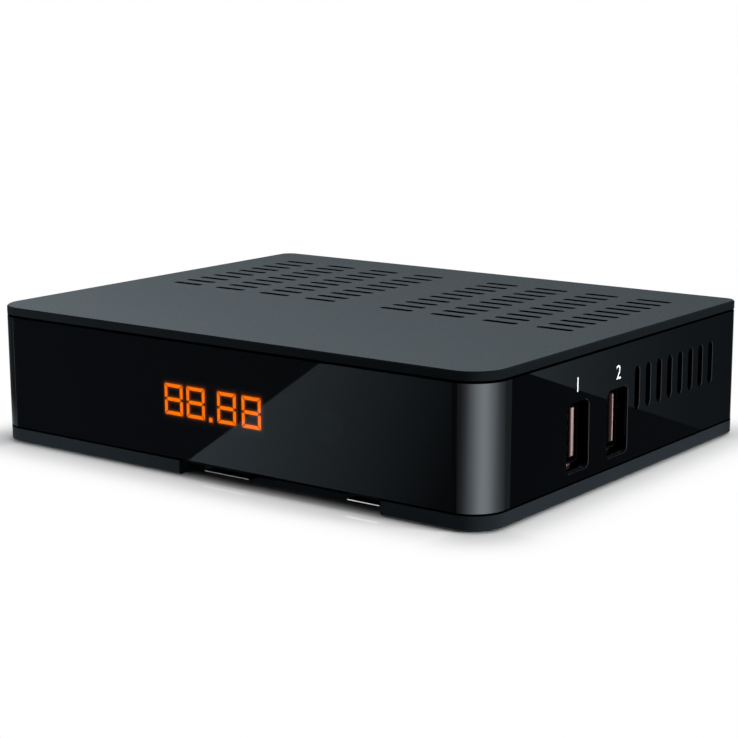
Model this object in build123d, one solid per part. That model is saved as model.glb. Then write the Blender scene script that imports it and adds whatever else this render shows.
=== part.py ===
"""Small satellite TV receiver: lid, gloss band, base tray, front lens, boards and sockets.

Millimetres. The pieces are drawn with the case centred on X and Y, front towards -Y, right side
towards +X and the floor at FLOOR_Z. Each one is then moved up to the floor and forward by half of
the aerial socket's reach: the origin is the bottom centre of the whole object, that socket included.
"""

from build123d import *

import math
import os

# ---------------------------------------------------------------- driving dimensions
CASE_W = 140.0  # over the side walls
CASE_D = 110.0  # front face to rear edge
FRONT_R = 7.8  # upright corners at the front
BACK_R = 3.2  # upright corners at the rear
AERIAL_REACH = 9.0  # aerial socket beyond the rear edge

FLOOR_Z = -0.5  # what the feet stand on
BASE_LOW = -0.2  # underside of the base
BASE_TOP = 3.2  # top of the base's visible skirt
BAND_LOW, BAND_HIGH = 3.6, 29.8  # gloss band, with a shadow gap above and below
LID_LOW, LID_TOP = 30.2, 32.2  # visible edge of the lid
WALL = 1.8  # band wall
EDGE = 0.3  # bevel along the outer edges of the lid, band and base
GROOVE = 0.8  # depth of the shadow gaps above and below the band
FRONT, REAR = -CASE_D / 2, CASE_D / 2
SIDE = CASE_W / 2

LENS_T = 2.0
LENS_X = 63.3  # half width of the lens
LENS_GAP = 0.1  # seam at each end of the lens
CARRIER_Y = (FRONT + LENS_T, -51.1)  # wall behind the lens
PANEL_Y = (52.2, 53.2)  # rear panel, inside the band's returns
RETURN_X = 64.5  # half width of the rear opening between the returns

LIP_GAP = 0.2  # locating lips inside the band
LIP_T = 1.2
BASE_LIP_TOP = 5.2
LID_LIP_LOW = 27.7
LID_POCKET = 0.5  # the lid is thinner inside its edge
FLOOR_T = 1.6  # bottom of the base

POSTS = [(x, y) for x in (-63.5, 63.5) for y in (-43.0, 36.0)]
POST_R, POST_TOP = 3.5, 23.8
DRIVER_R, DRIVER_TOP = 2.7, 21.8  # screwdriver hole up the inside of each post
BOSS_R, BOSS_LOW = 3.2, 24.0
CASE_SCREW_R, LID_TOPEAD_R = 1.2, 2.4
STANDOFFS = [(-50.0, -38.0), (52.0, -38.0), (-36.0, 26.0), (46.0, 31.0)]
STANDOFF_R = 3.0
BOARD_SCREW_R, BOARD_HEAD_R = 1.1, 2.2
FEET = [(x, y) for x in (-52.0, 52.0) for y in (-43.0, 43.0)]
FOOT_R, FOOT_SUNK, FOOT_SIDES = 5.0, 0.4, 16

SLOT_L, SLOT_W, SLOT_PITCH, SLOT_ROWS = 8.9, 1.4, 5.0, 10  # lid slots, along X
SLOT_FIRST_Y = -4.1
SLOT_X = (11.5, 26.0, 40.4, 54.8)  # column centres, mirrored
VENT_W, VENT_LOW, VENT_HIGH = 2.1, 14.2, 24.1  # upright slots in both side walls
VENT_FIRST_Y, VENT_PITCH, VENT_COUNT = 5.7, 5.0, 8
FLOOR_SLOT = (22.0, 2.0)
FLOOR_SLOT_X, FLOOR_SLOT_FIRST_Y = 32.0, 8.0
FLOOR_SLOT_PITCH, FLOOR_SLOT_ROWS = 6.0, 5

USB_Y = {"front": -19.4, "rear": -2.85}
USB_Z = 13.55
USB_HOLE = (8.8, 15.7, 1.5)  # along Y, along Z, corner radius
USB_HOLE_Z = 13.3
USB_TONGUE = 1.9  # thickness of the tongue, whose front face is on the socket's centre
RIM_CHAMFER = 0.1

CARD_CUT_X = (-11.0, 44.8)  # cut-out in the base's front skirt
CARD_CUT_BACK = -50.6
CARD_X = 16.9  # centre of the card slot
CARD_SLOT_W, CARD_SLOT_Z = 54.4, (1.75, 2.65)
READER_Z = (1.4, 4.15)
READER_Y = (-54.2, -2.0)
READER_NOSE_TOP = 3.5
TONGUES_X = ((-3.8, 8.9), (35.8, 44.1))  # bright plate each side of the thumb notch

BOARD_Z = (4.15, 5.75)
BOARD_X, BOARD_Y = 65.5, (-49.2, 51.8)
TOP = BOARD_Z[1]  # where board parts stand

DIGIT_W, DIGIT_H, STROKE = 5.37, 7.05, 0.8
DIGIT_X = (-14.22, -7.68, 1.38, 8.45)
DIGIT_Z = 16.0
SEGMENT_GAP = 0.13
POINT = (-3.3, 12.8, 0.95)  # centre x, centre z, side
DISPLAY_X, DISPLAY_W, DISPLAY_H = -2.9, 30.2, 10.2
DISPLAY_Y = (-52.6, -46.5)
DISPLAY_BOARD_Y = (-46.5, -45.3)
DISPLAY_BOARD_X, DISPLAY_BOARD_Z = (-34.0, 40.0), (6.6, 27.0)
DISPLAY_SCREWS = [(-30.0, 23.0), (36.0, 23.0)]
IR_X = 30.0

# rear sockets: centre along X and height of the axis
AERIAL_X, AERIAL_Z, AERIAL_R = -49.5, 13.2, 4.76
AV_X, IR_JACK_X, JACK_Z, JACK_R = -33.0, -22.0, 10.4, 1.8
HDMI_X, HDMI_TOP = -7.5, 11.6
LAN_X = 14.0
OPTICAL_X, OPTICAL_Z = 31.0, 10.7
POWER_X, POWER_Z = 42.0, 11.6
SWITCH_X, SWITCH_Z = 54.0, 16.0

ROCKER_R = 6.0  # rocker's end radius about its pivot
ROCKER_PIVOT_Y = 51.0
ROCKER_TILT = 10.0  # each way from level
SHUTTER_T = 0.8


# ---------------------------------------------------------------- small helpers
def block(x, y, z):
    """Box between two limits on each axis."""
    return Pos((x[0] + x[1]) / 2, (y[0] + y[1]) / 2, (z[0] + z[1]) / 2) * Box(
        x[1] - x[0], y[1] - y[0], z[1] - z[0]
    )


def chip(x, y, w, d, h):
    """Box standing on the main board, centred on x, y."""
    return block((x - w / 2, x + w / 2), (y - d / 2, y + d / 2), (TOP, TOP + h))


def rod_x(y, z, radius, x):
    return Pos((x[0] + x[1]) / 2, y, z) * Rot(0, 90, 0) * Cylinder(radius, x[1] - x[0])


def rod_y(x, z, radius, y):
    return Pos(x, (y[0] + y[1]) / 2, z) * Rot(90, 0, 0) * Cylinder(radius, y[1] - y[0])


def face_of(points):
    return make_face(Polyline(*points, close=True))


def peg(x, y, radius, z, sides=12):
    """Upright post or hole with flat facets, where nothing turns and no plug goes in."""
    return Pos(x, y, z[0]) * extrude(RegularPolygon(radius, sides), amount=z[1] - z[0])


def peg_y(x, z, radius, y, sides=12):
    return along_y(Pos(x, z) * RegularPolygon(radius, sides), y)


def along_y(sketch, y):
    """Sketch drawn as (x, z), carried from y[0] to y[1]."""
    return extrude(Plane.XZ.offset(-y[1]) * sketch, amount=y[1] - y[0])


def along_x(sketch, x):
    """Sketch drawn as (y, z), carried from x[0] to x[1]."""
    return extrude(Plane.YZ.offset(x[0]) * sketch, amount=x[1] - x[0])


def slot_face(length, width):
    """Slot along X whose round ends are three even chords each."""
    r = width / 2
    reach = length / 2 - r
    turns = [math.radians(60 * i - 90) for i in range(4)]
    end = [(reach + r * math.cos(a), r * math.sin(a)) for a in turns]
    return face_of(end + [(-x, -y) for x, y in end])


def plan(inset=0.0):
    """Case outline from above, set in by an even amount."""
    sheet = Rectangle(CASE_W - 2 * inset, CASE_D - 2 * inset)
    sheet = fillet(sheet.vertices().sort_by(Axis.Y)[:2], FRONT_R - inset)
    return fillet(sheet.vertices().sort_by(Axis.Y)[-2:], BACK_R - inset)


def slab(z, inset=0.0):
    return Pos(0, 0, z[0]) * extrude(plan(inset), amount=z[1] - z[0])


def well(z, inset):
    """Room inside the band, between the lens carrier and the rear panel, set in evenly."""
    half_w = SIDE - WALL - inset
    low, high = CARRIER_Y[1] + inset, PANEL_Y[0] - inset
    sheet = Pos(0, (low + high) / 2) * Rectangle(2 * half_w, high - low)
    sheet = fillet(sheet.vertices().sort_by(Axis.Y)[:2], max(5.0 - inset, 1.0))
    return Pos(0, 0, z[0]) * extrude(sheet, amount=z[1] - z[0])


def lip(z):
    """Locating lip that stands inside the band."""
    return well(z, LIP_GAP) - well((z[0] - 1, z[1] + 1), LIP_GAP + LIP_T)


def screw(x, y, head_z, tip_z, shank_r, head_r):
    """Pan-head screw; the head spans head_z and the shank ends at tip_z."""
    shank = (head_z[1], tip_z) if tip_z > head_z[1] else (tip_z, head_z[0])
    return peg(x, y, head_r, head_z) + peg(x, y, shank_r, shank)


# ---------------------------------------------------------------- case
def base_tray():
    tray = slab((BASE_LOW, BASE_TOP))
    tray = chamfer(tray.faces().sort_by(Axis.Z)[0].edges(), EDGE)
    floor = BASE_LOW + FLOOR_T
    tray += slab((BASE_TOP - 0.1, BAND_LOW), GROOVE)
    tray -= well((floor, BASE_LIP_TOP), LIP_GAP + LIP_T)
    tray += lip((floor, BASE_LIP_TOP))
    rear_x = BOARD_X + 0.5
    tray -= block((-rear_x, rear_x), (PANEL_Y[0] - 2, PANEL_Y[0]), (BOARD_Z[0], BASE_LIP_TOP + 1))
    tray += [peg(x, y, POST_R, (floor - 0.2, POST_TOP)) for x, y in POSTS]
    tray += [peg(x, y, STANDOFF_R, (floor - 0.2, BOARD_Z[0])) for x, y in STANDOFFS]
    tray -= [peg(x, y, DRIVER_R, (-1, DRIVER_TOP)) for x, y in POSTS]
    tray -= [peg(x, y, CASE_SCREW_R + 0.2, (0, POST_TOP + 1)) for x, y in POSTS]
    tray -= [peg(x, y, BOARD_SCREW_R + 0.05, (floor, TOP)) for x, y in STANDOFFS]
    tray -= [peg(x, y, FOOT_R, (FLOOR_Z, BASE_LOW + FOOT_SUNK), FOOT_SIDES) for x, y in FEET]
    tray -= block(CARD_CUT_X, (FRONT - 1, CARD_CUT_BACK), (-1, BASE_LIP_TOP + 1))
    tray -= block(CARD_CUT_X, (CARD_CUT_BACK - 1, CARD_CUT_BACK + 2), (floor, BASE_LIP_TOP + 1))
    spots = [
        Pos(side * FLOOR_SLOT_X, FLOOR_SLOT_FIRST_Y + row * FLOOR_SLOT_PITCH)
        for side in (-1, 1)
        for row in range(FLOOR_SLOT_ROWS)
    ]
    slots = Sketch() + [spot * slot_face(*FLOOR_SLOT) for spot in spots]
    return tray - Pos(0, 0, FLOOR_Z) * extrude(slots, amount=floor + 1)


def band_blank():
    """Whole outer form of the band, with its long edges softened."""
    blank = slab((BAND_LOW, BAND_HIGH))
    ends = blank.faces().sort_by(Axis.Z)
    return chamfer(ends[0].edges() + ends[-1].edges(), EDGE)


def side_vents():
    """Upright slots through both side walls."""
    height = VENT_HIGH - VENT_LOW
    middle = (VENT_HIGH + VENT_LOW) / 2
    spots = [Pos(VENT_FIRST_Y + i * VENT_PITCH, middle) for i in range(VENT_COUNT)]
    sheet = Sketch() + [spot * Rot(0, 0, 90) * slot_face(height, VENT_W) for spot in spots]
    return along_x(sheet, (-SIDE - 1, SIDE + 1))


def usb_holes():
    w, h, r = USB_HOLE
    sheet = Sketch() + [Pos(y, USB_HOLE_Z) * RectangleRounded(w, h, r) for y in USB_Y.values()]
    return along_x(sheet, (SIDE - WALL - 1, SIDE + 1))


def gloss_band():
    tall = (BAND_LOW - 1, BAND_HIGH + 1)
    band = band_blank() - slab(tall, WALL)
    band += block((-66.6, 66.6), (FRONT + WALL, CARRIER_Y[1]), (BAND_LOW, BAND_HIGH))
    seat_x = LENS_X + LENS_GAP
    band -= block((-seat_x, seat_x), (FRONT - 1, CARRIER_Y[0]), tall)
    band -= block((-RETURN_X, RETURN_X), (PANEL_Y[1] - 1, REAR + 1), tall)
    band -= [side_vents(), usb_holes()]
    outer = [e for e in band.edges() if abs(abs(e.center().X) - SIDE) < 0.01]
    rims = [e for e in outer if e.length < 20 and BAND_LOW + 1 < e.center().Z < BAND_HIGH - 1]
    band = chamfer(rims, RIM_CHAMFER)
    band += [peg_y(x, z, 2.6, (CARRIER_Y[1] - 0.5, DISPLAY_BOARD_Y[0])) for x, z in DISPLAY_SCREWS]
    band -= [peg_y(x, z, 0.95, (CARRIER_Y[1] - 0.6, DISPLAY_Y[1] + 1)) for x, z in DISPLAY_SCREWS]
    half_w, half_h = DISPLAY_W / 2 + 0.3, DISPLAY_H / 2 + 0.3
    window = block(
        (DISPLAY_X - half_w, DISPLAY_X + half_w),
        (FRONT, CARRIER_Y[1] + 1),
        (DIGIT_Z - half_h, DIGIT_Z + half_h),
    )
    return band - [window, peg_y(IR_X, DIGIT_Z, 3.6, (FRONT, CARRIER_Y[1] + 1))]


def front_lens():
    y = (FRONT - 1, FRONT + LENS_T)
    return band_blank() & block((-LENS_X, LENS_X), y, (0, LID_TOP))


def top_cover():
    lid = slab((LID_LOW, LID_TOP))
    lid = chamfer(lid.faces().sort_by(Axis.Z)[-1].edges(), EDGE)
    lid += slab((BAND_HIGH, LID_LOW + 0.1), GROOVE)
    lid -= well((BAND_HIGH - 1, LID_LOW + LID_POCKET), LIP_GAP + LIP_T)
    lid += lip((LID_LIP_LOW, LID_LOW + LID_POCKET))
    lid += [peg(x, y, BOSS_R, (BOSS_LOW, LID_LOW + LID_POCKET)) for x, y in POSTS]
    lid -= [peg(x, y, CASE_SCREW_R + 0.05, (BOSS_LOW - 1, LID_LOW)) for x, y in POSTS]
    spots = [
        Pos(side * x, SLOT_FIRST_Y + row * SLOT_PITCH)
        for side in (-1, 1)
        for x in SLOT_X
        for row in range(SLOT_ROWS)
    ]
    slots = Sketch() + [spot * slot_face(SLOT_L, SLOT_W) for spot in spots]
    return lid - Pos(0, 0, LID_LOW - 1) * extrude(slots, amount=LID_TOP - LID_LOW + 2)


def rear_panel():
    y = (PANEL_Y[0] - 1, PANEL_Y[1] + 1)
    panel = block((-66.1, 66.1), PANEL_Y, (BAND_LOW, BAND_HIGH))
    round_holes = [
        peg_y(AERIAL_X, AERIAL_Z, 4.95, y, 24),
        peg_y(AV_X, JACK_Z, 4.05, y, 24),
        peg_y(IR_JACK_X, JACK_Z, 4.05, y, 24),
    ]
    square_holes = [
        block((HDMI_X - 7.7, HDMI_X + 7.7), y, (HDMI_TOP - 5.8, HDMI_TOP + 0.2)),
        block((LAN_X - 8.1, LAN_X + 8.1), y, (TOP - 0.1, TOP + 13.6)),
        block((OPTICAL_X - 5.0, OPTICAL_X + 5.0), y, (TOP - 0.1, OPTICAL_Z + 5.1)),
        block((POWER_X - 4.7, POWER_X + 4.7), y, (TOP - 0.1, POWER_Z + 5.2)),
        block((SWITCH_X - 4.4, SWITCH_X + 4.4), y, (SWITCH_Z - 6.9, SWITCH_Z + 6.9)),
    ]
    return panel - round_holes - square_holes


def rubber_feet():
    return [peg(x, y, FOOT_R - 0.1, (FLOOR_Z, BASE_LOW + FOOT_SUNK), FOOT_SIDES) for x, y in FEET]


def case_screws():
    head = (DRIVER_TOP - 1.8, DRIVER_TOP)
    return [screw(x, y, head, LID_LOW - 0.8, CASE_SCREW_R, LID_TOPEAD_R) for x, y in POSTS]


# ---------------------------------------------------------------- boards
def main_board():
    board = block((-BOARD_X, BOARD_X), BOARD_Y, BOARD_Z)
    board -= [peg(x, y, POST_R + 0.5, (0, 9)) for x, y in POSTS]
    return board - [peg(x, y, BOARD_SCREW_R + 0.3, (0, 9)) for x, y in STANDOFFS]


def board_screws():
    head = (TOP, TOP + 1.5)
    tip = BASE_LOW + FLOOR_T + 0.2
    return [screw(x, y, head, tip, BOARD_SCREW_R, BOARD_HEAD_R) for x, y in STANDOFFS]


def display_board():
    board = block(DISPLAY_BOARD_X, DISPLAY_BOARD_Y, DISPLAY_BOARD_Z)
    return board - [peg_y(x, z, 1.2, (-50, -40)) for x, z in DISPLAY_SCREWS]


def display_screws():
    """Two short screws through the display board into the carrier's bosses."""
    back = DISPLAY_BOARD_Y[1]
    return [
        peg_y(x, z, 1.9, (back, back + 1.4)) + peg_y(x, z, 0.9, (CARRIER_Y[1] + 0.2, back))
        for x, z in DISPLAY_SCREWS
    ]


def display_header():
    """Angled pin header that joins the display board to the main board."""
    back = DISPLAY_BOARD_Y[1]
    bar = block((-22.0, -1.0), (back + 1.0, back + 3.5), (TOP, TOP + 2.4))
    pins = []
    for i in range(8):
        x = -20.39 + 2.54 * i
        pins.append(block((x - 0.3, x + 0.3), (back + 1.9, back + 2.5), (BOARD_Z[1], TOP + 4.2)))
        pins.append(block((x - 0.3, x + 0.3), (back, back + 2.5), (TOP + 3.6, TOP + 4.2)))
    return bar + pins


def seven_segments(x):
    """Seven mitred bars of one figure eight, drawn on the display's face."""
    w, h, s, gap = DIGIT_W / 2, DIGIT_H / 2, STROKE, SEGMENT_GAP
    m = s / 2
    top = [(-w + gap, h), (w - gap, h), (w - s - gap, h - s), (-w + s + gap, h - s)]
    side = [(-w, h - gap), (-w + s, h - s - gap), (-w + s, m + gap), (-w + m, gap * 1.5), (-w, m)]
    middle = [
        (-w + m + gap, 0),
        (-w + s + gap, m),
        (w - s - gap, m),
        (w - m - gap, 0),
        (w - s - gap, -m),
        (-w + s + gap, -m),
    ]
    shapes = [top, [(a, -b) for a, b in top], middle, side]
    shapes += [[(-a, b) for a, b in side], [(a, -b) for a, b in side], [(-a, -b) for a, b in side]]
    return [[(x + a, DIGIT_Z + b) for a, b in shape] for shape in shapes]


def display_segments():
    y = (DISPLAY_Y[0] - 0.15, DISPLAY_Y[0])
    bars = [along_y(face_of(shape), y) for x in DIGIT_X for shape in seven_segments(x)]
    x, z, side = POINT
    bars.append(block((x - side / 2, x + side / 2), y, (z - side / 2, z + side / 2)))
    return bars


def display_body():
    half_w, half_h = DISPLAY_W / 2, DISPLAY_H / 2
    return block(
        (DISPLAY_X - half_w, DISPLAY_X + half_w),
        DISPLAY_Y,
        (DIGIT_Z - half_h, DIGIT_Z + half_h),
    )


def ir_receiver():
    """Remote-control receiver: a small block with a half-round window."""
    face = -49.3
    body = block((IR_X - 2.8, IR_X + 2.8), (face, DISPLAY_Y[1]), (DIGIT_Z - 3.4, DIGIT_Z + 3.4))
    return body + peg(IR_X, face, 2.4, (DIGIT_Z - 2.2, DIGIT_Z + 2.2))


# ---------------------------------------------------------------- USB sockets
def usb_shell(y):
    """Stamped shell standing on edge, open towards the side wall, with flared lips."""
    x, half_y, half_z = (54.0, 68.1), 2.86, 6.55
    shell = block(x, (y - half_y, y + half_y), (USB_Z - half_z, USB_Z + half_z))
    shell -= block((x[0] + 0.4, 70), (y - 2.56, y + 2.56), (USB_Z - 6.25, USB_Z + 6.25))
    stand = block((x[0], x[1] - 4), (y - half_y, y + half_y), (TOP, USB_Z - half_z + 0.1))
    springs = [
        block((60.0, 65.0), (y + side * 2.56 - 0.25, y + side * 2.56 + 0.25), (USB_Z + z - 1.1, USB_Z + z + 1.1))
        for side in (-1, 1)
        for z in (-3.4, 3.4)
    ]
    return shell + stand + springs


def usb_tongue(y):
    """Insulating tongue, set towards the rear of its shell, with its root block."""
    half_z = 5.5
    tongue = block((56.0, 67.9), (y, y + USB_TONGUE), (USB_Z - half_z, USB_Z + half_z))
    root = block((54.4, 57.0), (y - 2.5, y + 2.5), (USB_Z - 6.2, USB_Z + 6.2))
    tip = tongue.faces().sort_by(Axis.X)[-1].edges()
    return chamfer(tip, 0.25) + root


def usb_contacts(y):
    """Four gold contacts on the tongue's front face."""
    pitch = (-3.5, -1.0, 1.0, 3.5)
    return [
        block((57.0, 67.5), (y - 0.18, y), (USB_Z + z - 0.55, USB_Z + z + 0.55)) for z in pitch
    ]


# ---------------------------------------------------------------- card reader
def card_reader_body():
    z = READER_Z
    half = CARD_SLOT_W / 2
    nose = block((CARD_X - half - 0.4, CARD_X + half + 0.4), (READER_Y[0], -49.4), (z[0], READER_NOSE_TOP))
    body = block((CARD_X - half - 1.3, CARD_X + half + 1.3), (-49.5, READER_Y[1]), z)
    room = block(
        (CARD_X - half, CARD_X + half),
        (READER_Y[0] - 1, READER_Y[1] - 1.5),
        (READER_Z[0] - 1, CARD_SLOT_Z[1]),
    )
    thumb = block((TONGUES_X[0][1], TONGUES_X[1][0]), (READER_Y[0] - 1, -51.6), (0, 3.0))
    return nose + body - [room, thumb]


def card_reader_plate():
    """Steel plate under the card, with a tongue each side of the thumb notch."""
    half = CARD_SLOT_W / 2 - 0.1
    z = (READER_Z[0], CARD_SLOT_Z[0] - 0.02)
    plate = block((CARD_X - half, CARD_X + half), (-49.6, READER_Y[1] - 1.7), z)
    tongues = [block(x, (FRONT + 0.5, -49.5), z) for x in TONGUES_X]
    return plate + tongues


def card_contacts():
    """Eight sprung contacts above the card's chip, in two rows."""
    made = []
    for row_y in (-30.0, -22.4):
        for i in range(4):
            x = CARD_X - 3.81 + 2.54 * i
            made.append(block((x - 0.5, x + 0.5), (row_y - 2.0, row_y + 2.0), (2.35, 2.65)))
    return made


# ---------------------------------------------------------------- aerial input
def tuner_can():
    x, y, z = (-58.5, -40.5), (20.0, 51.0), (TOP, TOP + 13.5)
    can = fillet(block(x, y, z).edges().filter_by(Axis.Z), 0.6)
    cover = block((x[0] - 0.2, x[1] + 0.2), (y[0] - 0.2, y[1] - 0.1), (z[1] - 3.0, z[1] + 0.2))
    return can + cover - [peg(trimmer_x, 28.0, 1.5, (z[1] - 1, z[1] + 1)) for trimmer_x in (-54.0, -45.0)]


THREAD_START = PANEL_Y[1] + 3.2


def f_connector():
    """Threaded barrel, stepped down where the nut and washer sit, hollow at the mouth."""
    tip = REAR + AERIAL_REACH
    root = rod_y(AERIAL_X, AERIAL_Z, AERIAL_R - 0.16, (51.0, THREAD_START))
    thread = rod_y(AERIAL_X, AERIAL_Z, AERIAL_R, (THREAD_START, tip))
    thread = chamfer(thread.faces().sort_by(Axis.Y)[-1].edges(), 0.5)
    return root + thread - rod_y(AERIAL_X, AERIAL_Z, 3.3, (55.0, tip + 1))


def f_insulator():
    body = peg_y(AERIAL_X, AERIAL_Z, 3.25, (55.0, REAR + AERIAL_REACH - 0.8), 24)
    return body - peg_y(AERIAL_X, AERIAL_Z, 1.1, (54.0, 70.0))


def f_contact():
    """Sprung brass tube that grips the cable's centre wire."""
    tube = peg_y(AERIAL_X, AERIAL_Z, 1.05, (55.0, REAR + AERIAL_REACH - 1.4))
    return tube - peg_y(AERIAL_X, AERIAL_Z, 0.55, (57.0, 70.0))


def f_nut():
    sheet = Pos(AERIAL_X, AERIAL_Z) * RegularPolygon(6.0, 6, major_radius=False)
    nut = along_y(sheet, (PANEL_Y[1] + 0.8, THREAD_START - 0.1))
    return nut - peg_y(AERIAL_X, AERIAL_Z, AERIAL_R - 0.06, (50, 60), 36)


def f_washer():
    ring = peg_y(AERIAL_X, AERIAL_Z, 6.6, (PANEL_Y[1], PANEL_Y[1] + 0.8), 36)
    return ring - peg_y(AERIAL_X, AERIAL_Z, AERIAL_R, (50, 60), 36)


# ---------------------------------------------------------------- other rear sockets
def mini_jack(x):
    """Round 3.5 mm socket with a collar through the rear panel."""
    body = block((x - 4.0, x + 4.0), (40.5, PANEL_Y[0] - 0.1), (TOP, TOP + 9.0))
    body = chamfer(body.edges().filter_by(Axis.Y).sort_by(Axis.Z)[-2:], 0.8)
    collar = rod_y(x, JACK_Z, 3.8, (PANEL_Y[0] - 0.2, REAR - 1.0))
    return body + collar - rod_y(x, JACK_Z, JACK_R, (REAR - 13.5, REAR + 1))


def hdmi_profile(inset):
    """Socket outline with its two lower corners cut, set in evenly."""
    half, top, low = 7.5 - inset, HDMI_TOP - inset, HDMI_TOP - 5.55 + inset
    cut = 2.2 - inset * 0.4
    return face_of(
        [
            (HDMI_X - half, top),
            (HDMI_X + half, top),
            (HDMI_X + half, low + cut),
            (HDMI_X + half - cut, low),
            (HDMI_X - half + cut, low),
            (HDMI_X - half, low + cut),
        ]
    )


def hdmi_shell():
    shell = along_y(hdmi_profile(0), (42.5, REAR - 0.9))
    shell -= along_y(hdmi_profile(0.4), (43.0, REAR))
    legs = [block((x - 0.5, x + 0.5), (44, 46), (TOP, TOP + 0.5)) for x in (HDMI_X - 4.5, HDMI_X + 4.5)]
    return shell + legs


def hdmi_tongue():
    root = along_y(hdmi_profile(0.5), (43.0, 46.0))
    z = HDMI_TOP - 2.5
    return root + block((HDMI_X - 5.6, HDMI_X + 5.6), (45.5, REAR - 1.7), (z - 0.5, z + 0.5))


def hdmi_contacts():
    """Ten contacts on top of the tongue."""
    z = HDMI_TOP - 2.0
    return [
        block((x - 0.2, x + 0.2), (46.0, REAR - 2.3), (z, z + 0.12))
        for x in (HDMI_X - 4.5 + i for i in range(10))
    ]


def lan_body():
    """Network socket with its stepped opening for the plug's latch."""
    body = block((LAN_X - 7.7, LAN_X + 7.7), (36.2, REAR - 0.9), (TOP, TOP + 13.2))
    mouth = face_of(
        [
            (LAN_X - 5.9, 16.6),
            (LAN_X + 5.9, 16.6),
            (LAN_X + 5.9, 9.6),
            (LAN_X + 3.1, 9.6),
            (LAN_X + 3.1, 8.1),
            (LAN_X + 2.0, 8.1),
            (LAN_X + 2.0, 7.0),
            (LAN_X - 2.0, 7.0),
            (LAN_X - 2.0, 8.1),
            (LAN_X - 3.1, 8.1),
            (LAN_X - 3.1, 9.6),
            (LAN_X - 5.9, 9.6),
        ]
    )
    return body - along_y(mouth, (REAR - 13.5, REAR))


def lan_shield():
    """Folded steel cover over the top and both sides of the network socket."""
    outer = block((LAN_X - 8.0, LAN_X + 8.0), (36.0, REAR - 1.1), (TOP, TOP + 13.5))
    return outer - block((LAN_X - 7.7, LAN_X + 7.7), (36.2, REAR), (TOP - 1, TOP + 13.2))


def lan_contacts():
    """Eight sprung wires that slope down from the roof of the opening."""
    made = []
    for i in range(8):
        x = LAN_X - 3.57 + 1.02 * i
        slope = face_of([(43.0, 14.2), (43.3, 14.2), (52.2, 16.6), (51.4, 16.6)])
        made.append(along_x(slope, (x - 0.22, x + 0.22)))
    return made


OPTICAL_MOUTH = 4.2  # half the side of the square opening
OPTICAL_Y = (REAR - 17.2, REAR - 1.0)
OPTICAL_BACK = REAR - 13.6  # back wall of the opening
SHUTTER_PIVOT = (REAR - 4.8, OPTICAL_Z + OPTICAL_MOUTH - 0.75)


def optical_body():
    half = OPTICAL_MOUTH
    body = block((OPTICAL_X - 4.85, OPTICAL_X + 4.85), OPTICAL_Y, (TOP, OPTICAL_Z + 4.95))
    room = block(
        (OPTICAL_X - half, OPTICAL_X + half), (OPTICAL_BACK, REAR), (OPTICAL_Z - half, OPTICAL_Z + half)
    )
    ferrule = peg_y(OPTICAL_X, OPTICAL_Z, 1.65, (OPTICAL_BACK - 2.0, OPTICAL_BACK + 1.0))
    pivot = rod_x(*SHUTTER_PIVOT, 0.4, (OPTICAL_X - half - 0.4, OPTICAL_X + half + 0.4))
    return body - [room, ferrule, pivot]


def optical_shutter():
    """Sprung flap that shuts the optical socket a little way in; its stub pins turn in the side walls."""
    y, z = SHUTTER_PIVOT
    half = OPTICAL_MOUTH
    flap = block(
        (OPTICAL_X - half + 0.15, OPTICAL_X + half - 0.15),
        (y - SHUTTER_T / 2, y + SHUTTER_T / 2),
        (OPTICAL_Z - half + 0.3, z),
    )
    return flap + rod_x(y, z, 0.35, (OPTICAL_X - half - 0.35, OPTICAL_X + half + 0.35))


def optical_emitter():
    return peg_y(OPTICAL_X, OPTICAL_Z, 1.5, (OPTICAL_BACK - 2.0, OPTICAL_BACK - 0.9))


def power_jack():
    """Low-voltage inlet: a block with a round bore."""
    body = block((POWER_X - 4.5, POWER_X + 4.5), (40.0, REAR - 1.1), (TOP, POWER_Z + 5.0))
    body = chamfer(body.edges().filter_by(Axis.Y).sort_by(Axis.Z)[-2:], 1.2)
    return body - rod_y(POWER_X, POWER_Z, 3.15, (REAR - 11.0, REAR))


def power_pin():
    y = (REAR - 11.0, REAR - 2.2)
    pin = rod_y(POWER_X, POWER_Z, 1.0, y)
    return chamfer(pin.faces().sort_by(Axis.Y)[-1].edges(), 0.4)


def switch_body():
    """Snap-in frame with a round-bottomed well for the rocker."""
    half_x, half_z = 4.25, 6.75
    face = REAR - 0.6
    flange = block(
        (SWITCH_X - 5.25, SWITCH_X + 5.25), (PANEL_Y[1], face), (SWITCH_Z - 7.5, SWITCH_Z + 7.5)
    )
    flange = chamfer(flange.faces().sort_by(Axis.Y)[-1].edges(), 0.4)
    body = block(
        (SWITCH_X - half_x, SWITCH_X + half_x), (43.6, PANEL_Y[1]), (SWITCH_Z - half_z, SWITCH_Z + half_z)
    )
    well_r = ROCKER_R + 0.2
    x = (SWITCH_X - 3.5, SWITCH_X + 3.5)
    hollow = [
        rod_x(ROCKER_PIVOT_Y, SWITCH_Z, well_r, x),
        block(x, (ROCKER_PIVOT_Y, REAR + 1), (SWITCH_Z - well_r, SWITCH_Z + well_r)),
        rod_x(ROCKER_PIVOT_Y, SWITCH_Z, 0.95, (x[0] - 0.65, x[1] + 0.65)),
    ]
    return flange + body - hollow


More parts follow.
